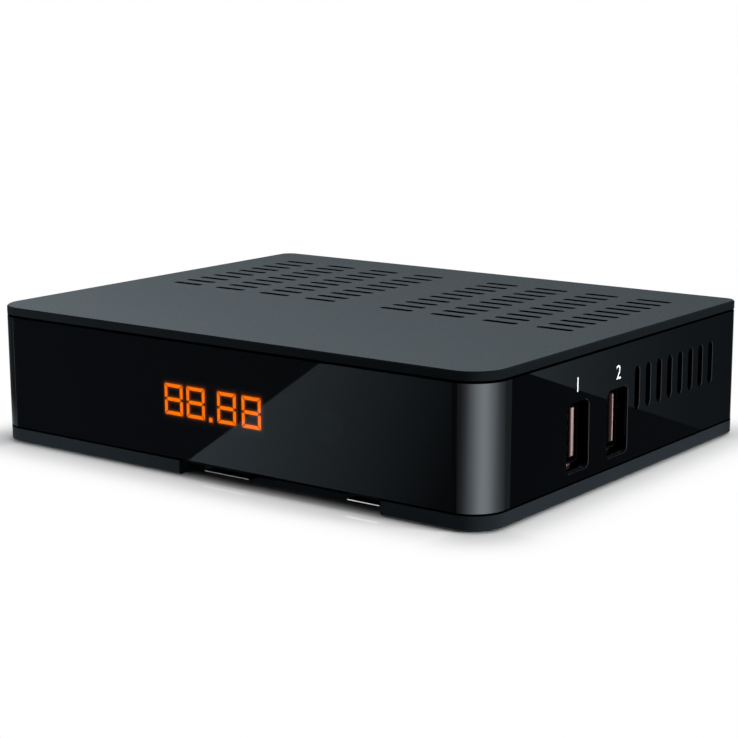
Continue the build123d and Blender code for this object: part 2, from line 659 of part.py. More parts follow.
def switch_rocker():
    """Rocker with round ends and a shallow V face, resting tipped one way."""
    arm = 4.4
    crest = math.sqrt(ROCKER_R**2 - arm**2)
    profile = [
        (-2.4, -ROCKER_R),
        (crest, -ROCKER_R),
        (crest, -arm),
        (3.0, 0),
        (crest, arm),
        (crest, ROCKER_R),
        (-2.4, ROCKER_R),
    ]
    disc = Circle(ROCKER_R)
    sheet = face_of(profile) & disc
    rocker = along_x(sheet, (-3.3, 3.3)) + rod_x(0, 0, 0.9, (-4.05, 4.05))
    return Pos(SWITCH_X, ROCKER_PIVOT_Y, SWITCH_Z) * Rot(-ROCKER_TILT, 0, 0) * rocker


def switch_terminals():
    """Two blades bent down from the switch to the main board."""
    made = []
    for z, y in ((SWITCH_Z - 3.5, 41.6), (SWITCH_Z + 3.5, 39.2)):
        blade = block((SWITCH_X - 1.4, SWITCH_X + 1.4), (y, 43.6), (z - 0.3, z + 0.3))
        leg = block((SWITCH_X - 1.4, SWITCH_X + 1.4), (y, y + 0.6), (TOP, z + 0.3))
        made.append(blade + leg)
    return made


# ---------------------------------------------------------------- parts on the main board
def processor():
    return chamfer(chip(8, 5, 19, 19, 1.4).faces().sort_by(Axis.Z)[-1].edges(), 0.2)


def heat_sink():
    z = TOP + 1.4
    base = block((-4, 20), (-7, 17), (z, z + 1.6))
    fins = [block((-4, 20), (y, y + 1.0), (z + 1.5, z + 9)) for y in (-7 + i * 23 / 7 for i in range(8))]
    return base + fins


def memory_chips():
    return [chip(-15, -4, 9, 13.3, 1.1), chip(-15, 12, 9, 13.3, 1.1)]


def flash_chip():
    return chip(29, -8, 8, 6, 1.8)


def regulator_chips():
    return [chip(33, 4, 6.6, 6.2, 2.3), chip(-30, -6, 6.6, 6.2, 2.3), chip(-30, 8, 5, 4, 1.6)]


def capacitors():
    """Upright electrolytic cans."""
    places = [(40, 22, 4.0, 11.0), (31, 20, 3.2, 8.0), (48, 18, 3.2, 8.0), (-30, 18, 3.2, 8.0), (-48, 12, 4.0, 11.0)]
    return [peg(x, y, r, (TOP, TOP + h)) for x, y, r, h in places]


def inductors():
    made = []
    for x, y in ((42, 10), (43, -2), (-42, 4)):
        made.append(chamfer(chip(x, y, 7, 7, 4).edges().filter_by(Axis.Z), 1.2))
    return made


def lan_transformer():
    return chip(14, 29, 12.7, 9.5, 5.2)


def crystal():
    can = extrude(Pos(6, -18) * slot_face(11.0, 4.6), amount=3.5)
    return Pos(0, 0, TOP) * can


# ---------------------------------------------------------------- output
def save(name, shape):
    """Write one node, moved so that the origin is the whole object's bottom centre."""
    pieces = shape if isinstance(shape, list) else [shape]
    solids = [solid for piece in pieces for solid in piece.solids()]
    moved = [Pos(0, -AERIAL_REACH / 2, -FLOOR_Z) * solid for solid in solids]
    node = moved[0] if len(moved) == 1 else Compound(children=moved)
    export_step(node, f"parts/{name}.step")


NODES = {
    "base_tray": base_tray,
    "gloss_band": gloss_band,
    "top_cover": top_cover,
    "front_lens": front_lens,
    "rear_panel": rear_panel,
    "rubber_feet": rubber_feet,
    "case_screws": case_screws,
    "main_board": main_board,
    "board_screws": board_screws,
    "display_board": display_board,
    "display_screws": display_screws,
    "display_header": display_header,
    "display_body": display_body,
    "display_segments": display_segments,
    "ir_receiver": ir_receiver,
    "card_reader_body": card_reader_body,
    "card_reader_plate": card_reader_plate,
    "card_contacts": card_contacts,
    "tuner_can": tuner_can,
    "aerial_socket": f_connector,
    "aerial_insulator": f_insulator,
    "aerial_contact": f_contact,
    "aerial_nut": f_nut,
    "aerial_washer": f_washer,
    "hdmi_shell": hdmi_shell,
    "hdmi_tongue": hdmi_tongue,
    "hdmi_contacts": hdmi_contacts,
    "network_socket": lan_body,
    "network_shield": lan_shield,
    "network_contacts": lan_contacts,
    "optical_body": optical_body,
    "optical_shutter": optical_shutter,
    "optical_emitter": optical_emitter,
    "power_jack": power_jack,
    "power_pin": power_pin,
    "switch_body": switch_body,
    "switch_rocker": switch_rocker,
    "switch_terminals": switch_terminals,
    "processor": processor,
    "heat_sink": heat_sink,
    "memory_chips": memory_chips,
    "flash_chip": flash_chip,
    "regulator_chips": regulator_chips,
    "capacitors": capacitors,
    "inductors": inductors,
    "network_transformer": lan_transformer,
    "crystal": crystal,
}


def main():
    os.makedirs("parts", exist_ok=True)
    for name, make in NODES.items():
        save(name, make())
    save("av_jack", mini_jack(AV_X))
    save("ir_extender_jack", mini_jack(IR_JACK_X))
    for place, y in USB_Y.items():
        save(f"usb_shell_{place}", usb_shell(y))
        save(f"usb_tongue_{place}", usb_tongue(y))
        save(f"usb_contacts_{place}", usb_contacts(y))


main()
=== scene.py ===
import functools
import math

import bmesh
import bpy
import numpy as np
from mathutils import Matrix, Vector


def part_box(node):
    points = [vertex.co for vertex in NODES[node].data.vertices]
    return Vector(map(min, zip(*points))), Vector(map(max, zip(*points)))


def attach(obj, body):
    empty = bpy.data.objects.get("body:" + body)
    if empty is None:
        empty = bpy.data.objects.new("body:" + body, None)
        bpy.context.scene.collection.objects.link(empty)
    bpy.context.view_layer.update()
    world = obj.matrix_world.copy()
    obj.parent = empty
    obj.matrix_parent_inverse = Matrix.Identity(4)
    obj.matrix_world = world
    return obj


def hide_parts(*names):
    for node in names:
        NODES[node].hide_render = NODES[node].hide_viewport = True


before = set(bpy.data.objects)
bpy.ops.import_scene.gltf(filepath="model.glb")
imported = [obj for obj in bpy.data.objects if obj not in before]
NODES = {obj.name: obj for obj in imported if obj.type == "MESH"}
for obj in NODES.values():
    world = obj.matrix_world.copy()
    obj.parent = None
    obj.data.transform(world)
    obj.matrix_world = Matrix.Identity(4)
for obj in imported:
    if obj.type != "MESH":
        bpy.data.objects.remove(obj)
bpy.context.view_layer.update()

MM = 0.001

# Case millimetres: x to the right, y to the back and z up, from the middle of the case in plan.
CASE_IN_ROW = np.array((0.0, -4.5, 0.5))  # their origin, in the row's millimetres


def row(points):
    """Case millimetres to metres in the row frame."""
    return (np.asarray(points, float) + CASE_IN_ROW) * MM


def in_case(places):
    """Metres in the row frame to case millimetres."""
    return places / MM - CASE_IN_ROW


def corners(node):
    """A node's lowest and highest corners at rest, in case millimetres."""
    return [in_case(np.array(corner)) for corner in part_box(node)]


HALF_W, HALF_D, LID_TOP = corners("top_cover")[1]
BAND_LOW, BAND_HIGH = (corner[2] for corner in corners("gloss_band"))
CORNER_R, BEVEL = 7.8, 0.3
LOWER_EDGE, CRISP_BEVEL = 3.35, 0.06  # where the copies' outer faces end, and the bevel there
SOCKET_MIDDLES = [np.mean(corners(node), 0)[1] for node in ("usb_tongue_front", "usb_tongue_rear")]


# ---------------------------------------------------------------- camera

CAMERA_AT = (0.2609, -0.3485, 0.10475)
CAMERA_YAW, CAMERA_PITCH, CAMERA_ROLL = 37.14, 11.57, -0.27
CAMERA_LENS, CAMERA_SENSOR = 89.44, 36.0
CAMERA_CLIP = (0.01, 50.0)


def make_camera():
    """Camera at the front right, a little above: yaw turns it to the left of +Y, pitch tips it down."""
    yaw, pitch, roll = (math.radians(a) for a in (CAMERA_YAW, CAMERA_PITCH, CAMERA_ROLL))
    ahead = Vector((-math.sin(yaw) * math.cos(pitch), math.cos(yaw) * math.cos(pitch), -math.sin(pitch)))
    right = Vector((math.cos(yaw), math.sin(yaw), 0.0))
    up = right.cross(ahead)
    right, up = (
        math.cos(roll) * right + math.sin(roll) * up,
        -math.sin(roll) * right + math.cos(roll) * up,
    )
    data = bpy.data.cameras.new("camera")
    data.lens, data.sensor_width = CAMERA_LENS, CAMERA_SENSOR
    data.clip_start, data.clip_end = CAMERA_CLIP
    camera = bpy.data.objects.new("camera", data)
    bpy.context.scene.collection.objects.link(camera)
    turn = Matrix((right, up, -ahead)).transposed().to_4x4()
    camera.matrix_world = Matrix.Translation(CAMERA_AT) @ turn
    bpy.context.scene.camera = camera


# ---------------------------------------------------------------- values that vary over a surface


class Field:
    """A number or colour that varies over a surface: a node's output, worked on with more nodes."""

    def __init__(self, tree, output):
        self.tree, self.output = tree, output

    def __add__(self, other):
        return math_node(self.tree, "ADD", self, other)

    def __sub__(self, other):
        return math_node(self.tree, "SUBTRACT", self, other)

    def __rsub__(self, other):
        return math_node(self.tree, "SUBTRACT", other, self)

    def __mul__(self, other):
        return math_node(self.tree, "MULTIPLY", self, other)

    def __truediv__(self, other):
        return math_node(self.tree, "DIVIDE", self, other)

    def __pow__(self, other):
        return math_node(self.tree, "POWER", self, other)

    def __neg__(self):
        return self * -1.0

    def __abs__(self):
        return math_node(self.tree, "ABSOLUTE", self)

    def exp(self):
        return math_node(self.tree, "EXPONENT", self)

    def at_least(self, other):
        return math_node(self.tree, "MAXIMUM", self, other)

    def at_most(self, other):
        return math_node(self.tree, "MINIMUM", self, other)

    def ramp(self, start, end, low=0.0, high=1.0):
        """Goes from low to high while the field goes from start up to end, and is level beyond."""
        node = self.tree.nodes.new("ShaderNodeMapRange")
        names = ("Value", "From Min", "From Max", "To Min", "To Max")
        for name, value in zip(names, (self, start, end, low, high)):
            plug(value, node.inputs[name])
        return Field(self.tree, node.outputs[0])

    def fall(self, start, end):
        """Goes from 1 down to 0 while the field goes from start up to end."""
        return self.ramp(start, end, 1.0, 0.0)

    def over(self, low, high):
        """Spreads a noise, which lies mostly between 0.3 and 0.7, over low to high."""
        return self.ramp(0.3, 0.7, low, high)

    def curve(self, stops):
        """Reads a tone off stops, each a place from 0 to 1 and a tone, with straight runs between them."""
        node = self.tree.nodes.new("ShaderNodeValToRGB")
        elements = node.color_ramp.elements
        while len(elements) < len(stops):
            elements.new(0.5)
        for element, (place, _) in zip(elements, stops):
            element.position = place
        for element, (_, tone) in zip(elements, stops):
            element.color = (tone, tone, tone, 1.0)
        plug(self, node.inputs[0])
        return Field(self.tree, node.outputs[0])

    def dimmed(self, share):
        """A colour field times a share."""
        node = self.tree.nodes.new("ShaderNodeVectorMath")
        node.operation = "SCALE"
        plug(self, node.inputs[0])
        plug(share, node.inputs["Scale"])
        return Field(self.tree, node.outputs[0])


def plug(value, socket):
    """Gives a socket its value: a field, a colour of three numbers or one number."""
    if isinstance(value, Field):
        value.tree.links.new(value.output, socket)
    elif isinstance(value, tuple):
        socket.default_value = (*value, 1.0)
    else:
        socket.default_value = value


def feed(node, **values):
    """Plugs values into a node's sockets by their names, with _ for a space."""
    for name, value in values.items():
        plug(value, node.inputs[name.replace("_", " ")])


def math_node(tree, operation, *values):
    """One Math node over fields and numbers."""
    node = tree.nodes.new("ShaderNodeMath")
    node.operation = operation
    for value, socket in zip(values, node.inputs):
        plug(value, socket)
    return Field(tree, node.outputs[0])


def largest(fields):
    """The largest of several fields at each point."""
    return functools.reduce(Field.at_least, fields)


def axes(tree, unit=1.0, origin=(0.0, 0.0, 0.0)):
    """The three object coordinates, in units of so many metres, from an origin given in that unit."""
    coordinates = tree.nodes.new("ShaderNodeTexCoord")
    place = tree.nodes.new("ShaderNodeVectorMath")
    place.operation = "MULTIPLY_ADD"
    place.inputs[1].default_value = [1.0 / unit] * 3
    place.inputs[2].default_value = [-start for start in origin]
    split = tree.nodes.new("ShaderNodeSeparateXYZ")
    tree.links.new(coordinates.outputs["Object"], place.inputs[0])
    tree.links.new(place.outputs[0], split.inputs[0])
    return [Field(tree, output) for output in split.outputs]


def case_axes(tree):
    """The three object coordinates in case millimetres."""
    return axes(tree, MM, CASE_IN_ROW)


def noise(tree, scale, detail=2.0, stretch=(1.0, 1.0, 1.0)):
    """Noise on object coordinates; scale is in cycles per metre and stretch squeezes it along an axis."""
    coordinates = tree.nodes.new("ShaderNodeTexCoord")
    mapping = tree.nodes.new("ShaderNodeMapping")
    mapping.inputs["Scale"].default_value = stretch
    texture = tree.nodes.new("ShaderNodeTexNoise")
    feed(texture, Scale=scale, Detail=detail)
    tree.links.new(coordinates.outputs["Object"], mapping.inputs["Vector"])
    tree.links.new(mapping.outputs[0], texture.inputs["Vector"])
    return Field(tree, texture.outputs["Fac"])


def drift(tree):
    """Slow change from 0 to 1 and back over about 2 cm."""
    return noise(tree, 50.0, 3.0).over(0.0, 1.0)


def blend(share, first, second):
    """Goes from the first colour to the second as share goes from 0 to 1."""
    node = share.tree.nodes.new("ShaderNodeMix")
    node.data_type = "RGBA"
    feed(node, Factor=share, A=first, B=second)
    return Field(share.tree, node.outputs["Result"])


TINY = 0.001


def from_case(x, y):
    """Distance in mm from the case's outline in plan, below 0 inside it, and the share that lies sideways."""
    aside = (abs(x) - (HALF_W - CORNER_R)).at_least(0.0)
    along = (abs(y) - (HALF_D - CORNER_R)).at_least(0.0)
    distance = math_node(x.tree, "SQRT", aside * aside + along * along) - CORNER_R
    return distance, aside / (aside + along + TINY)


# ---------------------------------------------------------------- finishes


def new_finish(name, **settings):
    """A material with its Principled shader; settings are the shader's own even values."""
    material = bpy.data.materials.new(name)
    material.use_nodes = True
    tree = material.node_tree
    shader = tree.nodes["Principled BSDF"]
    feed(shader, IOR=1.5, **settings)
    return material, tree, shader


def emboss(shader, height, depth):
    """Bump from a height of 0 to 1 that stands for depth millimetres."""
    bump = height.tree.nodes.new("ShaderNodeBump")
    feed(bump, Height=height, Strength=1.0, Distance=depth * MM)
    height.tree.links.new(bump.outputs[0], shader.inputs["Normal"])


def moulded(name, first, second, rough, grain, depth, **settings):
    """Moulded plastic: its colour drifts between two, and a fine grain, so many mm wide and deep, is in its
    height and changes its roughness by 0.05 either way."""
    material, tree, shader = new_finish(name, **settings)
    pattern = noise(tree, 1.0 / (grain * MM), 3.0)
    feed(
        shader,
        Base_Color=blend(drift(tree), first, second),
        Roughness=pattern.over(rough - 0.05, rough + 0.05),
    )
    emboss(shader, pattern, depth)
    return material


METAL_MARK = 0.004  # depth of the fine marks, in mm


def metal(name, first, second, rough, scale, stretch=(1.0, 1.0, 1.0)):
    """Bare or plated metal: its colour drifts between two over about 8 mm, and fine marks, so many to the
    metre and squeezed along an axis by stretch, are in its height and change its roughness by 0.06 either
    way."""
    material, tree, shader = new_finish(name, Metallic=1.0)
    marks = noise(tree, scale, 3.0, stretch)
    feed(
        shader,
        Base_Color=blend(noise(tree, 120.0).over(0.0, 1.0), first, second),
        Roughness=marks.over(rough - 0.06, rough + 0.06),
    )
    emboss(shader, marks, METAL_MARK)
    return material


RECESS = 0.35  # how far inside the case's outline a face counts as lying in a groove, slot or cut-out, in mm
EDGE_DARK = 0.05  # share of its colour that a plastic keeps under painted shade: in its grooves, slots, cut-outs and gaps
SHEEN_CORNER = (-54.0, -50.0)  # front left of the lid, where its painted sheen is strongest
SHEEN_REACH = (92.31, 75.38)  # over which it falls by a factor of e to the right and to the back
SHEEN_REAR, SHEEN_GAIN, SHEEN_LIMIT = 0.64, 0.40, 1.2  # far from the corner, added at it, and limit of exp
SHEEN_BELOW = 0.3  # share of the sheen on the faces below the top face: painted dimming of their highlights


def lid_sheen(x, y, top_face):
    """Share of its sheen that the lid keeps, a painted sheen that fades by position. On its top face it is
    rear + gain exp(-(a + b)), with a and b the ways to the right and to the back over their reaches, and the
    exponential no more than its limit."""
    right = (x - SHEEN_CORNER[0]) * (1.0 / SHEEN_REACH[0])
    back = (y - SHEEN_CORNER[1]) * (1.0 / SHEEN_REACH[1])
    fade = (-(right + back)).exp().at_most(SHEEN_LIMIT) * SHEEN_GAIN + SHEEN_REAR
    return (top_face * fade).at_least(SHEEN_BELOW)


def deep_edges(material, low, high, top=None, beside=1.0, inside=0.0):
    """Paints shade into a moulded finish: darkens it to EDGE_DARK and takes its sheen away below and above
    two heights, at the shadow gaps, and between them on faces that lie further in than RECESS, where inside
    sets the share that stays. A face at height top stays as it is, with the lid's painted sheen. The colour
    is multiplied by beside on the left and right sides, painted light where beside is above 1."""
    tree = material.node_tree
    shader = tree.nodes["Principled BSDF"]
    x, y, z = case_axes(tree)
    distance, sideways = from_case(x, y)
    outer = distance.ramp(-RECESS - 0.1, -RECESS)
    sheen = shader.inputs["Specular IOR Level"].default_value
    if top:
        top_face = z.ramp(top - 0.01, top)
        outer = outer.at_least(top_face)
        sheen = lid_sheen(x, y, top_face) * sheen
    shown = z.ramp(low - 0.04, low) * z.fall(high, high + 0.04) * outer.at_least(inside)
    level = (shown * (1.0 - EDGE_DARK) + EDGE_DARK) * sideways.ramp(0.6, 1.0, 1.0, beside)
    colour = Field(tree, shader.inputs["Base Color"].links[0].from_socket)
    feed(shader, Base_Color=colour.dimmed(level), Specular_IOR_Level=shown * sheen)
    return material


# Between these heights the upright faces of band and lens are polished.
GLOSS_LOW, GLOSS_HIGH = LOWER_EDGE + CRISP_BEVEL + 0.01, BAND_HIGH - CRISP_BEVEL - 0.02

# Spans over which the masks of the gloss band change; FROM_MIDDLE is measured along y from the row's middle.
# The lip and seam masks place painted highlights on the openings' lower lips and beside the lens's left end.
LIP_INNER_X, LIP_OUTER_X = (68.2, 68.3), (69.93, 69.96)
LIP_TOP_Z, LIP_FROM_MIDDLE = (5.6, 6.1), (30.0, 31.0)
SEAM_FRONT_Y, SEAM_LEFT_X, SEAM_RIGHT_X = (-54.9, -54.85), (-63.65, -63.60), (-63.38, -63.36)
FLAT_SIDE_X, CORNER_FROM_MIDDLE = (69.955, 69.965), (46.0, 46.1)
# Painted highlights: the shares of the pale tone that the lips and the seam line take, and that tone
LIP_HIGHLIGHT_SHARE, SEAM_HIGHLIGHT_SHARE, HIGHLIGHT_TONE = 0.45, 0.7, (0.020, 0.024, 0.028)
WALL_SHINE = 0.12  # share of the side's shine on the walls of its openings


def gloss_case():
    """Plastic from a polished mould: nearly a mirror, with a faint long wave and slow colour drift. The walls
    of the openings in its sides and its bevelled long edges are left dull. The openings' lower lips and the
    line beside the lens's left end carry painted highlights: their colour is paler."""
    material, tree, shader = new_finish("gloss_case")
    colour = blend(drift(tree), (0.0001, 0.0001, 0.0003), (0.0002, 0.0002, 0.0004))
    x, y, z = case_axes(tree)
    side = abs(x)
    from_middle = abs(y + CASE_IN_ROW[1])
    # Masks of the painted highlights on the openings' lower lips and the line beside the lens's left end
    lip_highlight = side.ramp(*LIP_INNER_X) * side.fall(*LIP_OUTER_X)
    lip_highlight = lip_highlight * z.fall(*LIP_TOP_Z) * from_middle.fall(*LIP_FROM_MIDDLE)
    seam_highlight = y.fall(*SEAM_FRONT_Y) * x.ramp(*SEAM_LEFT_X) * x.fall(*SEAM_RIGHT_X)
    open_face = z.ramp(GLOSS_LOW, GLOSS_LOW + 0.04) * z.fall(GLOSS_HIGH, GLOSS_HIGH + 0.04)
    shine = side.ramp(*FLAT_SIDE_X, WALL_SHINE, 1.0)
    shine = shine.at_least(from_middle.ramp(*CORNER_FROM_MIDDLE)) * open_face
    feed(
        shader,
        Base_Color=blend(lip_highlight * LIP_HIGHLIGHT_SHARE + seam_highlight * SEAM_HIGHLIGHT_SHARE, colour, HIGHLIGHT_TONE),
        Roughness=noise(tree, 90.0, 3.0).over(0.004, 0.010),
        Specular_IOR_Level=shine * 0.5,
    )
    emboss(shader, noise(tree, 25.0, 1.0), 0.002)
    return material


def smoked_lens():
    """Dark clear acrylic: each face lets three tenths of the light through, so what shines behind it shows.
    Its bevelled long edges are dull."""
    material, tree, shader = new_finish("smoked_lens", Alpha=0.7)
    _, _, z = case_axes(tree)
    open_face = z.ramp(GLOSS_LOW, GLOSS_LOW + 0.05) * z.fall(GLOSS_HIGH, GLOSS_HIGH + 0.05)
    feed(
        shader,
        Base_Color=blend(drift(tree), (0.0001, 0.0001, 0.0005), (0.0002, 0.0002, 0.0006)),
        Roughness=noise(tree, 90.0, 3.0).over(0.004, 0.010),
        Specular_IOR_Level=open_face * 0.5,
    )
    return material


BOARD_EDGE = corners("main_board")[1][0]
SHADED_MARGIN = (42.0, 48.0)  # |x| over which the board's painted shade begins: its margins are made nearly black
GLINT_UPPER_Z, GLINT_LOWER_Z = (5.1, 5.2), (4.85, 4.95)  # z over which the painted highlights' upper and lower parts begin and end
EDGE_GLINTS = (  # painted highlights on the board's right edge: y of the middle, half width, and how bright they are
    (-16.35, 0.45, 1.0), (-15.35, 0.35, 0.7), (0.75, 0.3, 0.2), (1.4, 0.3, 0.12),
)


def circuit_board():
    """Green solder mask over copper tracks: a brick pattern's joints stand for the tracks. Painted shade
    makes it nearly black, without sheen, over the margins at the left and right, and painted highlights stand
    on its right edge."""
    material, tree, shader = new_finish("board_green", Roughness=0.35)
    tracks = tree.nodes.new("ShaderNodeTexBrick")
    coordinates = tree.nodes.new("ShaderNodeTexCoord")
    tree.links.new(coordinates.outputs["Object"], tracks.inputs["Vector"])
    feed(tracks, Scale=180.0, Mortar_Size=0.045, Mortar_Smooth=0.2, Brick_Width=0.9)
    feed(tracks, Color1=(0.004, 0.045, 0.014), Color2=(0.005, 0.055, 0.018), Mortar=(0.012, 0.10, 0.03))
    x, y, z = case_axes(tree)
    margin = abs(x).ramp(*SHADED_MARGIN, 1.0, 0.02)
    mask = Field(tree, tracks.outputs["Color"]).dimmed(margin)
    # Painted highlights on the board's right edge; plated is their mask
    glint_heights = z.ramp(*GLINT_UPPER_Z).at_least(z.ramp(*GLINT_LOWER_Z, 0.5, 0.0))
    glint_spots = largest(abs(y - middle).ramp(half - 0.1, half, share, 0.0) for middle, half, share in EDGE_GLINTS)
    plated = x.ramp(BOARD_EDGE - 0.04, BOARD_EDGE - 0.01) * (glint_spots * glint_heights)
    feed(shader, Base_Color=blend(plated, mask, (0.90, 0.62, 0.58)), Specular_IOR_Level=margin * 0.5)
    emboss(shader, Field(tree, tracks.outputs["Fac"]), 0.03)
    return material


SEGMENT_FACE = corners("display_segments")[0][1]  # y of the light bars' front faces


def lit_segment():
    """Orange light bars with an uneven glow; only their front faces shine."""
    material, tree, shader = new_finish("lit_segment", Roughness=0.4)
    _, y, _ = case_axes(tree)
    glow = noise(tree, 900.0, 1.0).over(10.5, 12.5)
    front = y.ramp(SEGMENT_FACE + 0.005, SEGMENT_FACE + 0.02, 1.0, 0.05)
    feed(shader, Base_Color=(0.3, 0.06, 0.0))
    feed(shader, Emission_Color=(1.0, 0.168, 0.0), Emission_Strength=glow * front)
    return material


TONGUE_THICKNESS, TONGUE_LOW, TONGUE_HIGH = 1.9, 8.0, 18.7
TONGUE_END = corners("usb_tongue_front")[1][0]
TONGUE_SHADE_TONE = (0.004, 0.002, 0.002)


def tongue_plastic(name, edge, tones, low_tone, high_tone):
    """Pinkish insulator of a side socket's tongue, painted black for the socket's shade: only the end face is
    pale, with painted light and shade by tones across its thickness from the y of its edge, and by a tone at
    its lower and upper end. Only the pale part keeps a sheen."""
    material, tree, shader = new_finish(name, Roughness=0.45)
    x, y, z = case_axes(tree)
    upright = z.ramp(TONGUE_LOW, TONGUE_HIGH, low_tone, high_tone) * z.fall(TONGUE_HIGH, TONGUE_HIGH + 0.1)
    across = y.ramp(edge, edge + TONGUE_THICKNESS).curve(tones)
    share = x.ramp(TONGUE_END - 0.10, TONGUE_END - 0.02) * upright * across
    grain = noise(tree, 2500.0, 3.0)
    pale = blend(grain, (0.29, 0.20, 0.19), (0.36, 0.25, 0.24))
    feed(shader, Base_Color=blend(share, TONGUE_SHADE_TONE, pale), Specular_IOR_Level=share * 0.3)
    emboss(shader, grain, 0.006)
    return material


PLATE_FRONT = corners("card_reader_plate")[0][1]  # y of the reader plate's cut front edges
PLATE_BRIGHT_Z = (1.51, 1.60)  # z over which the cut edges become bright
PLATE_SHADE = (10.0, 30.0)  # x over which they come out of the shade


def edge_bright_plate():
    """Zinc plated sheet: its cut front edges are bright above a height and toward the right, and the rest is
    nearly black.
    """
    material, tree, shader = new_finish("zinc_plate", Roughness=0.4)
    x, y, z = case_axes(tree)
    marks = noise(tree, 400.0, 3.0, (1, 1, 8))
    bright = blend(marks, (0.66, 0.68, 0.69), (0.84, 0.86, 0.87))
    share = y.fall(PLATE_FRONT + 0.01, PLATE_FRONT + 0.06) * x.ramp(*PLATE_SHADE, 0.20, 1.0)
    share = share * z.ramp(*PLATE_BRIGHT_Z)
    feed(shader, Base_Color=blend(share, (0.002, 0.002, 0.0022), bright), Specular_IOR_Level=share * 0.5)
    emboss(shader, marks, METAL_MARK)
    return material


def glow_film():
    """Black film with a painted glow that stands for the bars' stray light, by the glow value at each point.
    """
    material, tree, shader = new_finish("glow_film", Roughness=0.6)
    value = tree.nodes.new("ShaderNodeAttribute")
    value.attribute_name = "glow"
    feed(
        shader,
        Base_Color=blend(noise(tree, 900.0), (0.006, 0.006, 0.007), (0.009, 0.009, 0.010)),
        Emission_Color=(1.0, 0.22, 0.0),
        Emission_Strength=Field(tree, value.outputs["Fac"]) * 2.2,
    )
    return material


MOULDED = {  # two colours, roughness, width and depth of the grain in mm
    "panel_metal": ((0.011, 0.012, 0.013), (0.014, 0.015, 0.016), 0.42, 0.25, 0.01),
    "foot_rubber": ((0.016, 0.016, 0.017), (0.024, 0.024, 0.025), 0.8, 0.5, 0.03),
    "black_plastic": ((0.0065, 0.0065, 0.0070), (0.0095, 0.0095, 0.0100), 0.36, 0.3, 0.008),
    "pale_plastic": ((0.55, 0.52, 0.50), (0.66, 0.62, 0.60), 0.4, 0.4, 0.006),
    "chip_resin": ((0.012, 0.012, 0.013), (0.018, 0.018, 0.019), 0.55, 0.2, 0.01),
    "capacitor_sleeve": ((0.03, 0.05, 0.11), (0.04, 0.065, 0.14), 0.3, 0.8, 0.005),
}
METALS = {  # two colours, roughness, marks per metre and how much they are squeezed along each axis
    "screw_steel": ((0.45, 0.45, 0.46), (0.60, 0.60, 0.61), 0.3, 900.0),
    "bright_metal": ((0.62, 0.61, 0.59), (0.74, 0.73, 0.71), 0.22, 500.0),
    "gold_contact": ((0.72, 0.47, 0.16), (0.85, 0.58, 0.22), 0.2, 900.0),
    "heat_sink_metal": ((0.42, 0.43, 0.44), (0.55, 0.56, 0.57), 0.38, 700.0, (1, 6, 1)),
}
FINISHES = {
    **{name: moulded(name, *values) for name, values in MOULDED.items()},
    **{name: metal(name, *values) for name, values in METALS.items()},
    "matte_case": moulded(
        "matte_case", (0.0032, 0.0042, 0.0049), (0.0038, 0.0050, 0.0057), 0.42, 0.35, 0.012,
        Specular_IOR_Level=0.05,
    ),
    "gloss_case": gloss_case(),
    "smoked_lens": smoked_lens(),
    "board_green": circuit_board(),
    "lit_segment": lit_segment(),
}

FLOOR_Z, BASE_HIGH, LID_LOW = -0.5, 2.95, 30.32  # base and lid are painted with shade between the last two, at the shadow gaps
LID_PLASTIC = moulded(
    "matte_lid", (0.0028, 0.0037, 0.0043), (0.0033, 0.0044, 0.0050), 0.42, 0.35, 0.006,
    Specular_IOR_Level=0.05, Specular_Tint=(0.92, 1.0, 1.03),
)
# Painted light: the base is the lid's black plastic, set lighter for the floor's light that falls on it
BASE_PLASTIC = moulded(
    "matte_base", (0.0058, 0.0076, 0.0091), (0.0066, 0.0086, 0.0102), 0.42, 0.35, 0.012,
    Specular_IOR_Level=0.015,
)
READER_FINISH = moulded(
    "reader_black", (0.0008, 0.0008, 0.0009), (0.0014, 0.0014, 0.0015), 0.5, 0.3, 0.008,
    Specular_IOR_Level=0.03,
)
# Painted shade in the lid's slots and below its edge at the shadow gap, and a painted sheen on its top
LID_FINISH = deep_edges(LID_PLASTIC, LID_LOW, LID_TOP + 1.0, top=LID_TOP - 0.02)
# Painted shade on the base above its edge at the gap and, at half strength, in its cut-out; its sides painted
# 1.3 times lighter
BASE_FINISH = deep_edges(BASE_PLASTIC, FLOOR_Z, BASE_HIGH, beside=1.3, inside=0.5)
# Painted light and shade on the tongues' end faces: tones across the thickness, then at the lower and upper
# end
FRONT_TONGUE_FINISH = tongue_plastic(
    "tongue_front", SOCKET_MIDDLES[0],
    (
        (0.0, 0.08), (0.2, 0.11), (0.36, 0.42), (0.47, 0.78),
        (0.58, 0.60), (0.72, 0.35), (0.9, 0.10), (1.0, 0.04),
    ),
    0.78, 1.0,
)
REAR_TONGUE_FINISH = tongue_plastic(
    "tongue_rear", SOCKET_MIDDLES[1],
    ((0.0, 0.01), (0.45, 0.03), (0.68, 0.12), (0.80, 0.80), (0.9, 1.0), (1.0, 1.0)),
    1.0, 0.8,
)
PLATE_FINISH = edge_bright_plate()
# Nickel of the socket shells, painted nearly black for the shade deep in the sockets
SHELL_FINISH = metal("nickel_in_shade", (0.016, 0.016, 0.017), (0.024, 0.024, 0.025), 0.3, 500.0)
GLOW_FINISH = glow_film()
PRINT_FINISH = moulded("print_white", (0.42, 0.43, 0.44), (0.48, 0.49, 0.50), 0.5, 0.2, 0.002)

OWN_FINISHES = {
    "top_cover": LID_FINISH,
    "base_tray": BASE_FINISH,
    "card_reader_body": READER_FINISH,
    "card_reader_plate": PLATE_FINISH,
    "usb_shell_front": SHELL_FINISH,
    "usb_shell_rear": SHELL_FINISH,
    "usb_tongue_front": FRONT_TONGUE_FINISH,
    "usb_tongue_rear": REAR_TONGUE_FINISH,
}


